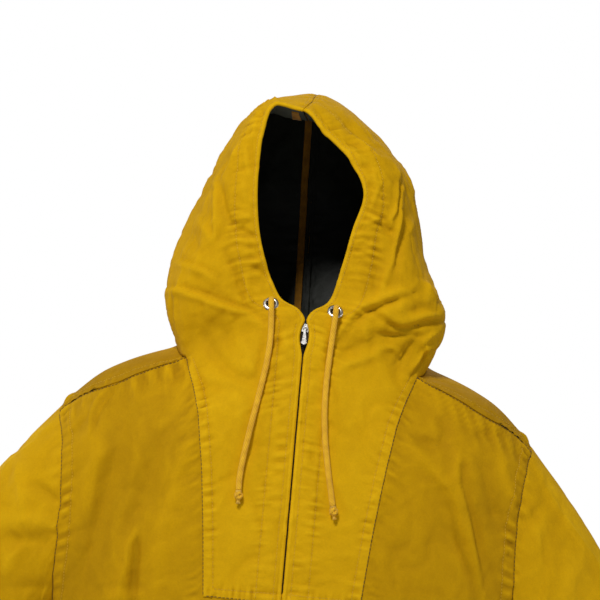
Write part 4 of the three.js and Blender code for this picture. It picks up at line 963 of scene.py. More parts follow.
class Panel:
    """A cloth panel: its grid of points in millimetres, their normals, and the sewn detail added so far."""

    def __init__(self, name, grid, wrap=False, keep=None, centre=None, along_normal=0.0, drape=True, curl=0):
        self.name, self.wrap, self.keep = name, wrap, keep
        self.base = self.grid = grid
        self.normal = outward_normals(grid, wrap, centre)
        fold = np.zeros(grid.shape[:2])
        if drape:
            self.grid, fold = draped(grid, self.normal, np.broadcast_to(along_normal, fold.shape))
        if curl:
            # The rolled edge keeps its round form and moves with the first column after it
            self.grid[:, :curl] = grid[:, :curl] + (self.grid[:, curl] - grid[:, curl])[:, None]
            fold[:, :curl] = fold[:, curl : curl + 1]
        # lift holds painted light: fold ridges are painted paler and troughs darker
        self.lift = np.clip(fold, -1.8, 1.8) * 0.26

    def raise_by(self, value, painted_light=1.0):
        """Moves the points outward; the second value sets how much that paints the cloth paler, as painted
        highlight where raised and painted shade where sunk.
        """
        self.grid = self.grid + self.normal * value[..., None]
        self.lift = self.lift + value * painted_light

    def steps(self, axis):
        return np.linalg.norm(np.diff(self.grid, axis=axis), axis=-1)

    def closing(self):
        """Widths of the cells between the last column and the first."""
        return np.linalg.norm(self.grid[:-1, 0] - self.grid[:-1, -1], axis=-1)

    def area(self):
        across = self.grid[1:, 1:] - self.grid[:-1, :-1]
        cells = 0.5 * np.linalg.norm(np.cross(across, self.grid[:-1, 1:] - self.grid[1:, :-1]), axis=-1)
        if self.keep is not None:
            cells = cells * self.keep
        total = cells.sum()
        if self.wrap:
            total += (self.closing() * self.steps(0)[:, 0]).sum()
        return total * MM**2

    def build(self, node, looks=("cloth", "inside"), thick=SHEET):
        normal = outward_normals(self.grid, self.wrap)
        self.normal = normal * np.sign(np.nansum(np.einsum("...k,...k", normal, self.normal)))
        # Painted highlight and shade, as a tone about 0.5
        painted_light = np.clip(0.5 + self.lift * 0.28, 0, 1)
        self.piece = shell(self.name, self.grid, self.normal, self.keep, self.wrap, thick, looks, painted_light)
        fitted(self.piece, node)
        return self


# Millimetres from one row or column of the form to the next, beside each seam
SPAN = {
    "placket": 28, "bib_end": 73, "hood_back": 62, "hood_top": 48, "hood_neck": 42, "front_top": 62,
    "shoulder": 40, "back_neck": 60, "hem": 71, "armhole": 95, "cuff": 108,
}
# Distance of each stitch row from its seam or edge, in millimetres
STITCH = {"edge": 4.6, "placket": 9, "casing": 28, "bib": 10, "shoulder": 11, "hem": 19}
EYELETS = {
    -1: (np.array((-38.2, -85.2, 56.0)), np.array((-0.013, -0.824, 0.567))),
    1: (np.array((30.4, -87.9, 53.5)), np.array((0.041, -0.815, 0.578))),
}
EYELET_HOLE = 6.3
# The bib ends at the hood form's column 3, and the seams at the back of the hood lie on its column 6
BIB_COLUMN, CENTRE_COLUMN, TOP_ROW, BOTTOM_ROW = 3, 6, 7, -4
TINY = 1e-6
TUCK = 2.4
CURL = np.radians((160, 130, 100, 72, 46, 22))
EDGE = len(CURL)
EDGE_RADIUS = 2.0
# Distances of the columns from the zip, from the bib's seam and from the hood's centre seam
PLACKET_MM = (2.0, 3.2, 4.0, 4.6, 5.2, 6.6, 8.3, 9.0, 9.7, 12, 15, 18, 21, 24, 26.4, 27.3, 28, 28.7, 30)
BIB_SEAM_MM = (11.4, 10.7, 10, 9.3, 8.6, 6.5, 4.5, 3, 1.6, 0.8, 0)
HOOD_BACK_MM = (6.4, 5.2, 4.4, 3.6, 2.4, 1.2, 0)
# Columns of the hood half's stitch lines and of its bib seam, after the rolled edge
LINES = {"edge": EDGE + 3, "placket": EDGE + 7, "casing": EDGE + 16, "bib": EDGE + 43, "seam": EDGE + 51}


def hood_rows():
    bottom = BOTTOM_ROW + np.array((0, 1.2, 3, 6, 8.6, 9.4, 10, 10.6, 11.4)) / SPAN["bib_end"]
    top = TOP_ROW - np.array((8, 6, 4.8, 4, 3.2, 2, 1, 0)) / SPAN["hood_top"]
    body = np.linspace(BOTTOM_ROW + 14 / SPAN["bib_end"], -0.04, 92)
    return np.concatenate((bottom, body, np.linspace(0, 6.75, 112), top))


def hood_blend(row):
    """How far the cloth lifts along its own normal: not at all on the bib, fully on most of the hood."""
    return fade(row, 0, 0.8) * np.clip((6.9 - row) / 0.8, 0.3, 1)


def hood_grid(side, rows):
    """Columns and points of a hood half, and the widths of its cells beside the zip and the bib's seam."""

    def gap(column):
        step = hood_point(side, column + 1, rows) - hood_point(side, column, rows)
        return np.linalg.norm(step, axis=-1)[:, None]

    first, second = gap(0), (gap(1) + gap(2)) / 2
    placket = np.array(PLACKET_MM[1:])[None] / SPAN["placket"]
    near = np.concatenate((EDGE_RADIUS / first, np.repeat(placket, len(rows), axis=0)), axis=1)
    seam_side = BIB_COLUMN - np.array(BIB_SEAM_MM)[None] / second
    middle = mix(near[:, -1:], seam_side[:, :1], np.linspace(0, 1, 24)[None, 1:-1])
    beside_centre = CENTRE_COLUMN - np.array(HOOD_BACK_MM) / SPAN["hood_back"]
    back = np.concatenate((BIB_COLUMN + np.linspace(0, 2.86, 52)[1:], beside_centre))
    column = np.concatenate((near, middle, seam_side, np.repeat(back[None], len(rows), axis=0)), axis=1)
    grid = hood_point(side, column, rows[:, None])
    # The placket's lips stand open above the pull tab
    z = grid[..., 2]
    t = np.clip((z - LENS["bottom"]) / (LENS["top"] - LENS["bottom"]), 0, 1)
    lens = LENS["half"] * np.sin(np.pi * t**1.15) * (z > LENS["bottom"]) * (rows[:, None] < 0.05)
    grid[..., 0] += side * lens * np.exp(-column * first / 16)
    return column, grid, second


def hood_panel(side):
    name = SIDE_NAME[side]
    rows = hood_rows()
    column, grid, second = hood_grid(side, rows)
    edge_normal = outward_normals(grid, centre=HOOD_CENTRE)[:, 0]
    roll_out = unit(grid[:, 0] - grid[:, 1])
    ways = [math.sin(a) * roll_out - (1 - math.cos(a)) * edge_normal for a in CURL]
    curl = [grid[:, 0] + EDGE_RADIUS * way for way in ways]
    grid = np.concatenate((np.stack(curl, axis=1), grid), axis=1)
    column = np.pad(column, ((0, 0), (EDGE, 0)))
    row = np.broadcast_to(rows[:, None], column.shape)
    panel = Panel(
        f"hood_bib_{name}_cloth", grid, centre=HOOD_CENTRE, along_normal=hood_blend(row), curl=EDGE,
        keep=(row[:-1, :-1] >= 0) | (column[:-1, :-1] < BIB_COLUMN - TINY),
    )
    around = [math.cos(a) * edge_normal + math.sin(a) * roll_out for a in CURL]
    panel.normal[:, :EDGE] = np.stack(around, axis=1)
    panel.neck = int(np.searchsorted(rows, 0.0))
    seed = 11 if side < 0 else 29
    sew_casing(panel, row, column * SPAN["placket"], seed)
    sew_bib(panel, row, (BIB_COLUMN - column) * second, seed)
    sew_hood_seams(panel, row, column, seed)
    cells = (panel.grid[:-1, :-1] + panel.grid[1:, 1:] + panel.grid[1:, :-1] + panel.grid[:-1, 1:]) / 4
    panel.keep &= np.linalg.norm(cells - EYELETS[side][0], axis=-1) > EYELET_HOLE
    # Painted highlight along the rolled front edge, and painted light that makes the bib paler
    panel.lift = panel.lift + np.clip((5 - column * SPAN["placket"]) / 2, 0, 1) + 0.6 * fade(-row, 0, 0.5)
    return panel.build(f"hood_bib_{name}")


def length_along(panel, column):
    """Lengths down the panel at one column before anything was sewn, spread to all its points."""
    return np.broadcast_to(curve_lengths(panel.base[:, column : column + 1], 0), panel.grid.shape[:2])


def sew_casing(panel, row, distance, seed):
    """Stitched front edge, placket seam and drawcord casing, puckered on both sides of the casing's seam."""
    up = length_along(panel, EDGE + len(PLACKET_MM) - 1)
    off_edge = fade(distance, 2, 6) * np.clip((6.8 - row) / 0.6, 0.1, 1)
    beyond_seam = distance - STITCH["casing"]
    panel.raise_by(0.55 * (1 - fade(beyond_seam, 0, 2)) * fade(distance, 0, 3), 0.3)
    panel.raise_by(groove(distance - STITCH["edge"], 0.35), 0.8)
    panel.raise_by(np.where(row < 0.15, groove(distance - STITCH["placket"], 0.4), 0), 0.8)
    panel.raise_by(groove(beyond_seam, 0.7))
    panel.raise_by(pucker(np.abs(beyond_seam), up, seed, 11, 8, 1.4, 0.0) * off_edge, 0.9)
    middle = distance - STITCH["casing"] / 2
    panel.raise_by(pucker(np.abs(middle), up, seed + 3, 9, 9, 1.2, 0.0) * off_edge, 0.8)


def sew_bib(panel, row, from_seam, seed):
    """Topstitched side and bottom of the bib, sewn over the front."""
    bib = fade(-row, -0.02, 0.05)
    panel.raise_by(0.8 * layer(from_seam, STITCH["bib"]) * (from_seam > -0.5) * bib, 0.3)
    panel.raise_by(groove(from_seam - STITCH["bib"], 0.7) * bib)
    along = length_along(panel, LINES["seam"])
    beside = pucker(np.abs(from_seam - 6), along, seed + 5, 8, 7, 1.9, 0.0)
    panel.raise_by(beside * bib * (0.3 + 0.7 * held(from_seam)))
    height = (row - BOTTOM_ROW) * SPAN["bib_end"]
    panel.raise_by(0.6 * layer(height, STITCH["bib"]) * fade(from_seam, 0, 9), 0.3)
    panel.raise_by(groove(height - STITCH["bib"], 0.6) * (from_seam > 9))
    wide = curve_lengths(panel.base, 1)
    panel.raise_by(pucker(np.abs(height - 7), wide, seed + 7, 9, 7, 1.0, 0.0) * (from_seam > 0))


def sew_hood_seams(panel, row, column, seed):
    """Centre seam down the back of the hood and forward over its top, and the neck seam behind."""
    up, wide = length_along(panel, EDGE + len(PLACKET_MM) - 1), curve_lengths(panel.base, 1)
    hood = row > 0
    centre = (CENTRE_COLUMN - column) * SPAN["hood_back"]
    panel.raise_by(np.where(hood, groove(centre, 0.9, 1.4) + groove(centre - 4.4, 0.4), 0))
    panel.raise_by(np.where(hood, pucker(centre, up, seed + 9, 14, 9, 0.6, 4.0) * held(centre), 0))
    top = (TOP_ROW - row) * SPAN["hood_top"]
    panel.raise_by(groove(top, 0.9, 1.4) + groove(top - 4, 0.4))
    panel.raise_by(pucker(top, wide, seed + 13, 13, 9, 0.8, 4.0) * held(top))
    neck = np.where((column > BIB_COLUMN) & hood, row * SPAN["hood_neck"], FAR)
    panel.raise_by(groove(neck, 0.9, 1.6) + pucker(neck, wide, seed + 15, 14, 10, 0.8, 6.0) * held(neck))


# Rows shared by the front, the back and the sleeves, so that their seams meet
HEM_ROWS = (9.72, 9.74, 9.8, 9.9, 10)
FRONT_ROWS = -np.concatenate((
    (0, 0.02, 0.05, 0.1, 0.16), np.linspace(0.22, 3.92, 60), np.linspace(4, 9.7, 90), HEM_ROWS,
))
BACK_ROWS = np.concatenate((
    (0, 0.03, 0.07, 0.13, 0.2, 0.25, 0.275, 0.3, 0.35), np.linspace(0.42, 2.9, 28), np.linspace(3, 5, 46),
    np.linspace(5, 9.7, 72)[1:], HEM_ROWS,
))
BAND = 21.0
ARM_MM = np.array((0, 1.2, 5, 9, 13, 17, 20.2, BAND, 21.8, 23.5, 26))
SEAM_MM = np.array((12, 8, 5, 3, 1.5, 0))
FIELD = 40
BLOCK = len(ARM_MM) + FIELD + len(SEAM_MM)
# Stand-ins for distances from a seam where a panel has none
FAR, FAR_FROM_ARM = 99.0, 200.0


def shares(width):
    """Columns across one half, close together beside the armhole and the inner seam."""
    arm, seam = ARM_MM[None] / width, 1 - SEAM_MM[None] / width
    field = mix(arm[:, -1:], seam[:, :1], np.linspace(0, 1, FIELD + 2)[None, 1:-1])
    return np.concatenate((arm, field, seam), axis=1)


def both_halves(rows, outer_at, inner_at, count):
    """Points from one armhole over the middle to the other, and how far each lies from its armhole."""
    halves, arms = [], []
    for side in (-1, 1):
        width = np.linalg.norm(outer_at(side, 1.0, rows) - outer_at(side, 0.0, rows), axis=-1)[:, None]
        share = shares(width)
        low = np.repeat(np.linspace(0, 1, count + 1)[None, 1:], len(rows), axis=0)
        halves.append(np.concatenate((outer_at(side, share, rows[:, None]), inner_at(side, low)), axis=1))
        arms.append(np.concatenate((share * width, np.full(low.shape, FAR_FROM_ARM)), axis=1))
    return (np.concatenate((left, right[:, -2::-1]), axis=1) for left, right in (halves, arms))


def sew_sides(panel, arm, seed):
    """Flat-felled band beside the armhole and the side seam, stitched at its inner edge and puckered."""
    panel.raise_by(0.6 * layer(arm, BAND), 0.3)
    panel.raise_by(groove(arm - BAND, 0.7) + groove(arm, 0.7, 1.4))
    panel.raise_by(pucker(np.abs(arm - 12), length_along(panel, 0), seed, 10, 10, 2.6, 0.0) * held(arm))


def sew_hem(panel, row):
    """Turned-up hem, stitched 19 mm above the bottom edge."""
    height = (10 - np.abs(row)) * SPAN["hem"]
    panel.raise_by(groove(height - STITCH["hem"], 0.6))
    panel.raise_by(0.5 * layer(height, STITCH["hem"]), 0.3)
    panel.raise_by(pucker(np.abs(height - 18), curve_lengths(panel.base, 1), 61, 14, 8, 0.7, 0.0))


def face_way(panel, way):
    """Turns the normals round where they point away from the way given along Y."""
    middle = panel.normal[panel.normal.shape[0] // 2, panel.normal.shape[1] // 2 + 3]
    panel.normal = panel.normal if middle[1] * way > 0 else -panel.normal


def front_panel():
    rows = FRONT_ROWS

    def under_bib(side, low):
        """Behind the bib the front is a tucked strip, and below it the panel's own middle."""
        under = lower_front_point(side, low, np.minimum(rows, BOTTOM_ROW)[:, None])
        tucked = hood_point(side, BIB_COLUMN * (1 - low), np.maximum(rows, BOTTOM_ROW)[:, None])
        tucked[..., 1] += TUCK
        return np.where((rows > BOTTOM_ROW)[:, None, None], tucked, under)

    grid, arm = both_halves(rows, front_point, under_bib, 18)
    row = np.broadcast_to(rows[:, None], arm.shape)
    right = arm.shape[1] - BLOCK
    keep = np.ones((len(rows) - 1, arm.shape[1] - 1), bool)
    keep[:, BLOCK - 1 : right] = (rows[:-1] <= -3.85)[:, None]
    keep[:, BLOCK - 1 : BLOCK + 2] = True
    keep[:, right - 3 : right] = True
    panel = Panel("front_cloth", grid, keep=keep)
    face_way(panel, -1)
    sew_sides(panel, arm, 41)
    seam_mm = np.full(arm.shape, FAR)
    seam_mm[:, :BLOCK] = arm[:, BLOCK - 1 : BLOCK] - arm[:, :BLOCK]
    seam_mm[:, right:] = arm[:, right : right + 1] - arm[:, right:]
    beside = pucker(seam_mm, curve_lengths(grid, 0), 47, 11, 9, 1.2, 4.0)
    panel.raise_by(beside * fade(row, -4.3, 0.3) * held(seam_mm))
    top = -row * SPAN["front_top"]
    beside = pucker(top, curve_lengths(grid, 1), 53, 13, 12, 1.5, 7.0) * held(top)
    panel.raise_by(beside + groove(top, 0.6, 1.6))
    sew_hem(panel, row)
    # Painted shade: the whole front a little darker
    panel.lift = panel.lift - 0.75
    return panel.build("front")


def back_panel():
    rows = BACK_ROWS
    grid, arm = both_halves(
        rows, back_block, lambda side, low: back_middle(side, low, np.maximum(rows, NECK_ROW)[:, None]), 22,
    )
    row = np.broadcast_to(rows[:, None], arm.shape)
    keep = np.ones((len(rows) - 1, arm.shape[1] - 1), bool)
    keep[:, BLOCK - 1 : arm.shape[1] - BLOCK] = (rows[:-1] >= NECK_ROW - 1e-6)[:, None]
    panel = Panel("back_cloth", grid, keep=keep)
    face_way(panel, 1)
    sew_sides(panel, arm, 71)
    shoulder = row * SPAN["shoulder"]
    outer = arm < FAR_FROM_ARM - 1
    wide = curve_lengths(grid, 1)
    panel.raise_by(np.where(outer, 0.6 * layer(shoulder, STITCH["shoulder"]), 0), 0.3)
    panel.raise_by(np.where(outer, groove(shoulder - STITCH["shoulder"], 0.7), 0))
    beside = pucker(np.abs(shoulder - 6), wide, 73, 7, 7, 1.6, 0.0)
    panel.raise_by(beside * outer * held(shoulder) * held(arm, 18))
    neck = np.where(outer, FAR, (row - NECK_ROW) * SPAN["back_neck"])
    panel.raise_by(groove(neck, 0.8, 1.6) + pucker(neck, wide, 79, 14, 10, 0.8, 6.0) * held(neck))
    sew_hem(panel, row)
    # Painted shade: the back darker, and darker still over the shoulders
    panel.lift = panel.lift - 0.6 - 1.2 * np.clip(1.6 - row, 0, 1)
    return panel.build("back")


def armhole_loop(side):
    """Points round the armhole, shared with front and back, and the turn of each about the sleeve."""
    front_rows = FRONT_ROWS[FRONT_ROWS >= -5][::-1]
    back_rows = BACK_ROWS[(BACK_ROWS > 0) & (BACK_ROWS < 4.97)]
    loop = np.concatenate((front_point(side, 0.0, front_rows), back_block(side, 0.0, back_rows)))
    ridge = int(np.argmax(loop[:, 2]))
    lengths = np.concatenate(([0], np.cumsum(np.linalg.norm(np.roll(loop, -1, axis=0) - loop, axis=-1))))
    top, whole, here = lengths[ridge], lengths[-1], lengths[:-1]
    turn = np.where(here <= top, math.pi * (1 - here / top), -math.pi * (here - top) / (whole - top))
    return loop, turn


def sleeve_grid(side, at):
    """Points of the sleeve at stations along it, and unit vectors out from its middle line."""
    loop, turn = armhole_loop(side)
    cos, sin = np.cos(turn), np.sin(turn)
    reach = (np.abs(cos) ** 2.2 + np.abs(sin) ** 2.2) ** (-1 / 2.2)
    centres = np.array([((top[0] + under[0]) / 2, (top[1] + under[1]) / 2) for top, under, _ in SLEEVE])
    rings = [loop]
    for (top, _, depth), (x, z) in list(zip(SLEEVE, centres))[1:]:
        across, up = (top[0] - x) * cos * reach, (top[1] - z) * cos * reach
        rings.append(points(side * (x + across), -depth * sin * reach, z + up))
    rings = np.array([beyond(rings[0], rings[1]), *rings, beyond(rings[-1], rings[-2])])
    n = np.clip(np.floor(at).astype(int), 0, len(SLEEVE) - 2)
    w = weights(at - n)
    grid = sum(w[:, m, None, None] * rings[n + m] for m in range(4))
    x, z = (np.interp(at, np.arange(len(SLEEVE)), centres[:, k])[:, None] for k in (0, 1))
    return grid, unit(grid - points(side * x, 0, z)), turn


def sleeve_rings(side, place, turn):
    """Wrinkles round the sleeve: the table's large ones and small ones drawn at random."""
    rings = np.zeros(place.shape)
    for where, half, height, angle in SLEEVE_RINGS:
        strength = np.clip(0.4 + 0.6 * np.cos(turn - math.radians(angle)), 0, 1)
        rings += height * bell(place - where, half) * strength
    rng = np.random.default_rng(5 if side < 0 else 6)
    for _ in range(26):
        where, angle = rng.uniform(0.5, 5.6), rng.uniform(0, 2 * math.pi)
        slope, half, spread = rng.uniform(-0.35, 0.35), rng.uniform(0.05, 0.12), rng.uniform(0.5, 1.2)
        away = np.angle(np.exp(1j * (turn - angle)))
        sign, height = rng.choice((-1, 1)), rng.uniform(1.2, 2.6)
        rings += sign * height * bell(place - where - slope * away, half) * bell(away, spread)
    return rings * fade(place, 0, 0.5) * fade(len(SLEEVE) - 1 - place, 0, 0.5)


def sleeve_panel(side):
    last = len(SLEEVE) - 1
    cuff_rows = last - np.array((19.8, 19, 18.2, 12, 6, 2, 0)) / SPAN["cuff"]
    at = np.concatenate(((0, 0.012, 0.03, 0.06), np.linspace(0.1, 5.8, 118), cuff_rows))
    grid, out, turn = sleeve_grid(side, at)
    place = np.broadcast_to(at[:, None], grid.shape[:2])
    panel = Panel(
        f"sleeve_{SIDE_NAME[side]}_cloth", grid + out * sleeve_rings(side, place, turn)[..., None], wrap=True,
    )
    if np.einsum("...k,...k", panel.normal, out).sum() < 0:
        panel.normal = -panel.normal
    around = curve_lengths(panel.base, 1)
    from_seam, cuff = place * SPAN["armhole"], (last - place) * SPAN["cuff"]
    beside = pucker(from_seam, around, 83, 13, 9, 0.9, 5.0) * held(from_seam)
    panel.raise_by(groove(from_seam, 0.7, 1.5) + beside)
    panel.raise_by(groove(cuff - STITCH["hem"], 0.6) + 0.5 * layer(cuff, STITCH["hem"]))
    panel.raise_by(pucker(np.abs(cuff - 18), around, 89, 12, 8, 0.8, 0.0))
    # The photograph shows the sleeve pale above a slanting line
    seen_x, seen_z = as_seen(panel.base)
    edge_x, edge_z = np.array(PALE_SLEEVE_LINE[side], float).T
    above = seen_z - np.interp(np.abs(seen_x), np.abs(edge_x), edge_z)
    ends = fade(np.abs(seen_x), 262, 20) * fade(-np.abs(seen_x), -400, 40)
    # Painted light: the whole sleeve a little paler, and paler still above that line
    panel.lift = panel.lift + 0.15 + 1.3 * fade(above, 0, 2) * ends * fade(-panel.base[..., 1], 0, 25)
    return panel.build(f"sleeve_{SIDE_NAME[side]}")


# Small solid parts
def tube_mesh(path, radius, around, flat=1.0, relief=None):
    """Rings of points carried smoothly along a path, with capped ends; relief adds to the radius."""
    tangents = unit(np.gradient(path, axis=0))
    side = unit(np.cross(tangents[0], (0, 1, 0.1)))
    lengths = curve_lengths(path[None], 1)[0]
    angle = np.linspace(0, 2 * math.pi, around, endpoint=False)
    places = []
    for point, tangent, size, length in zip(path, tangents, radius, lengths):
        side = unit(side - tangent * np.dot(side, tangent))
        other = np.cross(tangent, side)
        reach = size + (relief(angle, length) if relief else 0)
        sideways = np.outer(np.cos(angle) * reach, side)
        places += list(point + sideways + np.outer(np.sin(angle) * reach * flat, other))
    uv = np.stack(np.broadcast_arrays(angle[None] * radius[:, None], lengths[:, None]), axis=-1)
    return places, capped(len(path), around), uv


def capped(rings, around, base=0):
    """Faces between rings of points, with a face over each end."""
    faces = (cells_between(rings, around, around).reshape(-1, 4) + base).tolist()
    ends = np.arange(around)[::-1] + base, np.arange(around) + base + (rings - 1) * around
    return faces + [end.tolist() for end in ends]


def tube(name, path, radius, look, around=10, flat=1.0, relief=None):
    radius = np.broadcast_to(np.asarray(radius, float), (len(path),))
    places, faces, uv = tube_mesh(path, radius, around, flat, relief)
    piece = made(name, places, faces, [look])
    lay_uv(piece.data, uv.reshape(-1, 2))
    return piece


def join(name, pieces):
    """Several mesh objects as one smooth object."""
    built = bmesh.new()
    materials = []
    for piece in pieces:
        first = len(built.faces)
        built.from_mesh(piece.data)
        built.faces.ensure_lookup_table()
        material = piece.data.materials[0]
        if material not in materials:
            materials.append(material)
        for face in built.faces[first:]:
            face.material_index = materials.index(material)
            face.smooth = True
    mesh = bpy.data.meshes.new(name)
    built.to_mesh(mesh)
    built.free()
    for material in materials:
        mesh.materials.append(material)
    for piece in pieces:
        old = piece.data
        bpy.data.objects.remove(piece)
        bpy.data.meshes.remove(old)
    return linked(name, mesh)


def smooth_path(corners, per_span):
    """Catmull-Rom line through the points, and its length up to each of its own points."""
    corners = np.asarray(corners, float)
    padded = np.concatenate(([beyond(corners[0], corners[1])], corners, [beyond(corners[-1], corners[-2])]))
    w = weights(np.linspace(0, 1, per_span, endpoint=False))
    line = np.concatenate((*(w @ padded[k : k + 4] for k in range(len(corners) - 1)), corners[-1:]))
    return line, curve_lengths(line[None], 1)[0]


def at_lengths(where, lengths, line):
    """Points of a line at given lengths along it."""
    return np.stack([np.interp(where, lengths, line[:, k]) for k in range(3)], axis=-1)


def evenly(line, lengths, step):
    return at_lengths(np.linspace(0, lengths[-1], int(lengths[-1] / step) + 1), lengths, line)


def braid(angle, along):
    """Strands crossing both ways round the cord."""
    turn, pitch = 5, 8.5
    wound = 2 * math.pi * along / pitch * 2
    return 0.20 * np.maximum(np.cos(turn * angle + wound), np.cos(turn * angle - wound)) - 0.16


def cord_piece(side):
    name = SIDE_NAME[side]
    line, lengths = smooth_path(CORD_PATHS[side], 12)
    path = evenly(line, lengths, 0.8)
    cord = tube(f"cord_{name}_braid", path, CORD_RADIUS, "cord", 30, 0.92, braid)
    fitted(cord, f"cord_{name}")
    knot = knot_piece(name, side, path)


def knot_piece(name, side, path):
    """The cord's end: a whipping, an overhand knot and a short frayed tail."""
    end = path[-1]
    axis = unit(path[-1] - path[-6])
    across = unit(np.cross(axis, (0, 1, 0)))
    depth = np.cross(axis, across)

    def spot(along, aside, deep):
        return end + np.outer(along, axis) + np.outer(aside, across) + np.outer(deep, depth)

    t = np.linspace(0, 2 * math.pi, 64)
    loops = 2.3 + 0.55 * np.cos(3 * t)
    rise = 5.6 + 2.3 * np.sin(3 * t) * 0.9 + 0.6 * np.sin(t)
    body = spot(rise, loops * np.cos(2 * t), loops * np.sin(2 * t))
    core = spot(np.linspace(0.2, 10.4, 14), np.zeros(14), np.zeros(14))
    core_radius = np.interp(np.arange(14), (0, 3, 10, 13), (2.5, 2.3, 2.3, 1.9))
    parts = [tube("knot_turns", body, 1.9, "cord", 12), tube("knot_core", core, core_radius, "cord", 14)]
    for at in (1.0, 2.1):
        ring = spot(np.full(64, at), 2.75 * np.cos(t), 2.75 * np.sin(t))
        parts.append(tube("whipping", ring, 0.5, "cord_pale", 8))
    rng = np.random.default_rng(3 + side)
    s = np.linspace(0, 1, 6)
    for k in range(16):
        angle = 2 * math.pi * k / 16 + rng.uniform(-0.2, 0.2)
        length = rng.uniform(3.2, 4.6)
        lean = 0.7 + 1.9 * s**1.5 * rng.uniform(0.5, 1.0)
        strand = spot(10 + s * length, lean * math.cos(angle), lean * math.sin(angle))
        parts.append(tube("strand", strand, 0.42 * (1 - 0.6 * s), "cord_pale" if k % 2 else "cord", 6))
    knot = join(f"knot_{name}_tied", parts)
    fitted(knot, f"knot_{name}")
    return knot


def stitches(name, lines, length=2.7, gap=0.9, radius=0.34, look="thread"):
    """Rows of short raised stitches along lines of (points, normals), in millimetres."""
    around = 5
    angle = 2 * math.pi * np.arange(around) / around
    heights = np.array((-0.35, 0.16, 0.16, -0.35))[:, None]
    widths = np.array((0.55, 1.0, 1.0, 0.55))[:, None] * radius
    rises, sides = heights + widths * np.sin(angle), widths * np.cos(angle)
    places, faces = [], []
    for line, normals in lines:
        lengths = curve_lengths(line[None], 1)[0]
        for start in (np.arange(int(lengths[-1] / (length + gap))) + 0.25) * (length + gap):
            spine = at_lengths(start + np.array((0, 0.22, 0.78, 1.0)) * length, lengths, line)
            up = unit(at_lengths(start + length / 2, lengths, normals))
            sideways = unit(np.cross(unit(spine[-1] - spine[0]), up))
            faces += capped(len(spine), around, len(places))
            ring = rises[..., None] * up + sides[..., None] * sideways
            places += list((spine[:, None] + ring).reshape(-1, 3))
    piece = made(name, places, faces, [look])
    piece.data.uv_layers.new(name="thread")
    fitted(piece)
    return piece


def seam_shadow_stitches(name, lines):
    """Painted shade: dark thread-like stitches that stand for the shadow line down in a seam."""
    return stitches(name, lines, 3.6, 0.7, 0.36, "seam_shadow_thread")


def column_line(panel, column, first=0, last=None):
    return panel.grid[first:last, column], panel.normal[first:last, column]


def row_line(panel, row, first=0, last=None):
    return panel.grid[row, first:last], panel.normal[row, first:last]


def declare(panel, pieces=()):
    keep = True if panel.keep is None else panel.keep
    wide = (panel.steps(1)[:-1] * keep).sum(axis=1) + (panel.closing() if panel.wrap else 0)
    tall = (panel.steps(0)[:, :-1] * keep).sum(axis=0)
    width, length = round(float(wide.max()) * MM, 3), round(float(tall.max()) * MM, 3)
    area = float(np.clip(panel.area(), 0.3 * width * length, width * length))


def lining(name, side, column, row, depth, look, node, thick=1.0):
    """A strip under the hood or bib half that follows its folds; depth is how far under."""
    column, row, depth = np.broadcast_arrays(column, row, depth)
    grid = hood_point(side, column, row)
    strip = Panel(name, grid, centre=HOOD_CENTRE, along_normal=hood_blend(row))
    from_axis = grid - HOOD_CENTRE * (1, 1, 0) - grid * (0, 0, 1)
    if np.einsum("...k,...k", strip.normal, from_axis).sum() < 0:
        strip.normal = -strip.normal
    strip.grid = strip.grid - strip.normal * depth[..., None]
    return strip.build(node, (look, look), thick)


def facing_depth(column, row):
    """The facing lies close under the hood's edge and sags a little from it at the top."""
    return 3.7 + fade(row, 5.2, 1.3) * fade(column, 0.2, 0.8) ** 0.8 * 17


def casing(side):
    row = np.linspace(0.25, 6.96, 150)[:, None]
    column = np.array((0.18, 0.24, 0.34, 0.46, 0.6, 0.75, 0.9, 1.02))[None]
    node, depth = f"casing_{SIDE_NAME[side]}", facing_depth(column, row)
    return lining(f"{node}_facing", side, column, row, depth, "facing", node)


def tape_end():
    """The end of the seam tape, turned over the facing at the top of the hood."""
    row = np.linspace(6.66, 6.84, 7)[:, None]
    column = np.linspace(0.3, 1.0, 12)[None]
    depth = facing_depth(column, row) + 1.3
    return lining("hood_tape_end", -1, column, row, depth, "seam_tape", None, 0.8).piece


def zip_tape(side):
    row = np.linspace(-3.97, -0.12, 150)[:, None]
    column = np.array((0.09, 0.16, 0.24, 0.32, 0.41, 0.5))[None]
    depth = np.interp(column, (0.08, 0.3, 0.5), (4.4, 3.9, 3.5))
    node = f"zip_tape_{SIDE_NAME[side]}"
    return lining(f"{node}_woven", side, column, row, depth, "zip_tape", node, 0.9)


def inside_of_hood():
    """The hood's inner surface, and the line of its centre seam from the neck over the top to the front."""
    places, faces, count = [], [], 0
    for panel in hoods.values():
        rows, columns = panel.grid.shape[:2]
        faces.append(cells_between(rows, columns, columns - 1)[panel.neck :, EDGE:].reshape(-1, 4) + count)
        places.append((panel.grid - panel.normal * SHEET).reshape(-1, 3))
        count += rows * columns
    tree = BVHTree.FromPolygons(np.concatenate(places).tolist(), np.concatenate(faces).tolist())
    left = hoods[-1]
    seam = np.concatenate((left.base[left.neck :, -1], left.base[-1, EDGE + 4 : -1][::-1]))
    line = evenly(seam, curve_lengths(seam[None], 1)[0], 2.0)
    for _ in range(6):
        line[1:-1] = (line[:-2] + 2 * line[1:-1] + line[2:]) / 4
    return tree, line


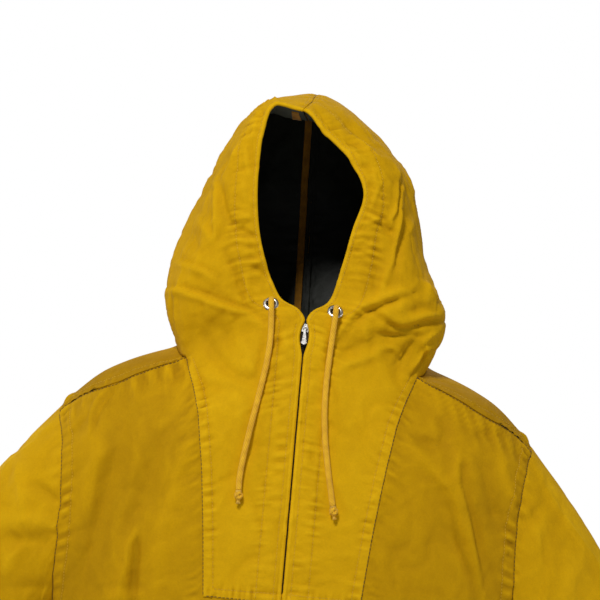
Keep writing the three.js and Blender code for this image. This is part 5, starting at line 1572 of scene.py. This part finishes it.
def seam_strip(name, near, far, clear, look, node=None):
    """A strip lying on the inside of the hood beside its centre seam, from near to far of it."""
    tree, line = inside_of_hood()
    # Rays start this far inside the hood, and the strip keeps off the ends of the seam
    reach = 26
    tangent = np.gradient(line, axis=0)
    outward = unit(points(0, tangent[:, 2], -tangent[:, 1]))
    grid = []
    for point, way in zip(line[3:-5], outward[3:-5]):
        row = []
        for aside in np.linspace(near, far, 7):
            start = point - (aside, 0, 0) - reach * way
            spot = tree.ray_cast(Vector(start), Vector(way), 60)[0]
            row.append((start + way * reach if spot is None else np.array(spot)) - way * clear)
        grid.append(row)
    grid = np.array(grid)
    for _ in range(2):
        grid[1:-1] = (grid[:-2] + 2 * grid[1:-1] + grid[2:]) / 4
    return Panel(name, grid, centre=HOOD_CENTRE, drape=False).build(node, (look, look), 0.8)


BOX = ((0, 3, 2, 1), (4, 5, 6, 7), (0, 1, 5, 4), (1, 2, 6, 5), (2, 3, 7, 6), (3, 0, 4, 7))


def zip_teeth():
    """Two rows of interlocked teeth down the zip."""
    margin, pitch = 0.6, 1.15
    line = hood_point(-1, 0.0, np.linspace(-3.96, -0.1, 400)) * (0, 1, 1) + (0, 5.0, 0)
    lengths = curve_lengths(line[None], 1)[0]
    places, faces = [], []
    for k, at in enumerate(np.arange(margin, lengths[-1] - margin, pitch)):
        centre = at_lengths(at, lengths, line)
        side = -1 if k % 2 else 1
        faces += (np.array(BOX) + len(places)).tolist()
        for dy in (-1.0, 1.0):
            for dx, dz in ((-0.4, -0.42), (2.3, -0.5), (2.3, 0.5), (-0.4, 0.42)):
                places.append(centre + np.array((side * dx, dy * (1.0 if dx > 0 else 0.75), dz)))
    piece = made("zip_teeth", places, faces, ["dark_metal"], smooth=False)
    piece.modifiers.new("worn_edges", "BEVEL").width = 0.00015
    fitted(piece, "zip_chain")


# Radius and height of the eyelet's section, from its barrel over the flange and back
EYELET_PROFILE = (
    (4.75, -1.7), (4.75, 0.3), (4.85, 0.95), (5.2, 1.42), (5.8, 1.62), (6.6, 1.55), (7.4, 1.28), (8.1, 0.88),
    (8.45, 0.5), (8.35, 0.3), (5.4, 0.1), (5.25, -1.7),
)


def eyelet(side):
    """Rolled metal eyelet: a rounded flange that turns down into its barrel."""
    centre, axis = EYELETS[side]
    axis = unit(axis)
    across = unit(np.cross(axis, (0, 0, 1.0)))
    around = 64
    profile = np.array(EYELET_PROFILE)
    angle = np.linspace(0, 2 * math.pi, around, endpoint=False)[:, None]
    ring = np.cos(angle) * across + np.sin(angle) * np.cross(axis, across)
    places = (centre + profile[None, :, :1] * ring[:, None] + profile[None, :, 1:] * axis).reshape(-1, 3)
    faces = (cells_between(around + 1, len(profile), len(profile)).reshape(-1, 4) % len(places)).tolist()
    node = f"eyelet_{SIDE_NAME[side]}"
    fitted(made(f"{node}_rolled", places, faces, ["metal"]), node)


def softened(node, body, width):
    """A copy of a small CAD part with rounded edges."""
    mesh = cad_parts[node].data.copy()
    mesh.name = f"{node}_cast"
    mesh.materials.clear()
    mesh.materials.append(LOOK["metal"])
    built = bmesh.new()
    built.from_mesh(mesh)
    bmesh.ops.remove_doubles(built, verts=built.verts, dist=1e-6)
    bmesh.ops.dissolve_limit(built, angle_limit=0.02, verts=built.verts, edges=built.edges)
    sharp = [e for e in built.edges if len(e.link_faces) == 2 and e.calc_face_angle(0) > 0.6]
    bmesh.ops.bevel(built, geom=sharp, offset=width, segments=2, affect="EDGES", clamp_overlap=True)
    built.to_mesh(mesh)
    built.free()
    fitted(linked(mesh.name, mesh), node, body)


def hood_stitches(panel, side):
    neck, name = panel.neck, SIDE_NAME[side]
    lines = [
        column_line(panel, LINES["edge"], neck),
        column_line(panel, LINES["placket"], 2, neck),
        # On the left the casing's seam ends where the hood's outline would show it
        column_line(panel, LINES["casing"], 2, -24 if side < 0 else None),
        column_line(panel, LINES["bib"], 6, neck),
        row_line(panel, 6, EDGE + 4, LINES["bib"]),
        column_line(panel, -5, neck + 2),
        row_line(panel, -5, EDGE + 3),
    ]
    seams = [column_line(panel, LINES["seam"], 1, neck + 1), row_line(panel, 1, EDGE, LINES["seam"] + 1)]
    return [stitches(f"stitches_hood_{name}", lines), seam_shadow_stitches(f"seam_shadows_bib_{name}", seams)]


def front_stitches():
    lines = [column_line(front, 7, 3), column_line(front, -8, 3), row_line(front, -3)]
    tops = [row_line(front, 1, 0, BLOCK), row_line(front, 1, -BLOCK)]
    seams = [*tops, column_line(front, 0), column_line(front, -1)]
    return [stitches("stitches_front", lines), seam_shadow_stitches("seam_shadows_front", seams)]


def back_stitches():
    lines = [
        column_line(back, 7, 6), column_line(back, -8, 6), row_line(back, -3), row_line(back, 6, 0, BLOCK),
        row_line(back, 6, -BLOCK),
    ]
    seams = [column_line(back, 0, 1), column_line(back, -1, 1)]
    return [stitches("stitches_back", lines), seam_shadow_stitches("seam_shadows_back", seams)]


def cuff_stitches(side):
    ring = [np.concatenate((values, values[:1])) for values in row_line(sleeves[side], -5)]
    return [stitches(f"stitches_cuff_{SIDE_NAME[side]}", [ring])]


make_camera()
make_lamps()
make_world()
make_floor()
for side in (-1, 1):
    cord_piece(side)
hoods = {side: hood_panel(side) for side in (-1, 1)}
front = front_panel()
back = back_panel()
sleeves = {side: sleeve_panel(side) for side in (-1, 1)}
binding = seam_strip("centre_seam_binding", -4.5, 4.5, 0.9, "inside")
tape = seam_strip("hood_tape_woven", 4.8, 12.8, 1.0, "seam_tape", "hood_tape")
for side in (-1, 1):
    strips = [binding.piece, tape.piece] if side < 0 else []
    eyelet(side)
    declare(hoods[side], hood_stitches(hoods[side], side) + strips)
    declare(casing(side), [tape_end()] if side < 0 else [])
    declare(zip_tape(side))
    declare(sleeves[side], cuff_stitches(side))
declare(front, front_stitches())
declare(back, back_stitches())
zip_teeth()
softened("slider", BODY_NODE, 0.0003)
softened("pull_tab", "pull_tab", 0.00025)
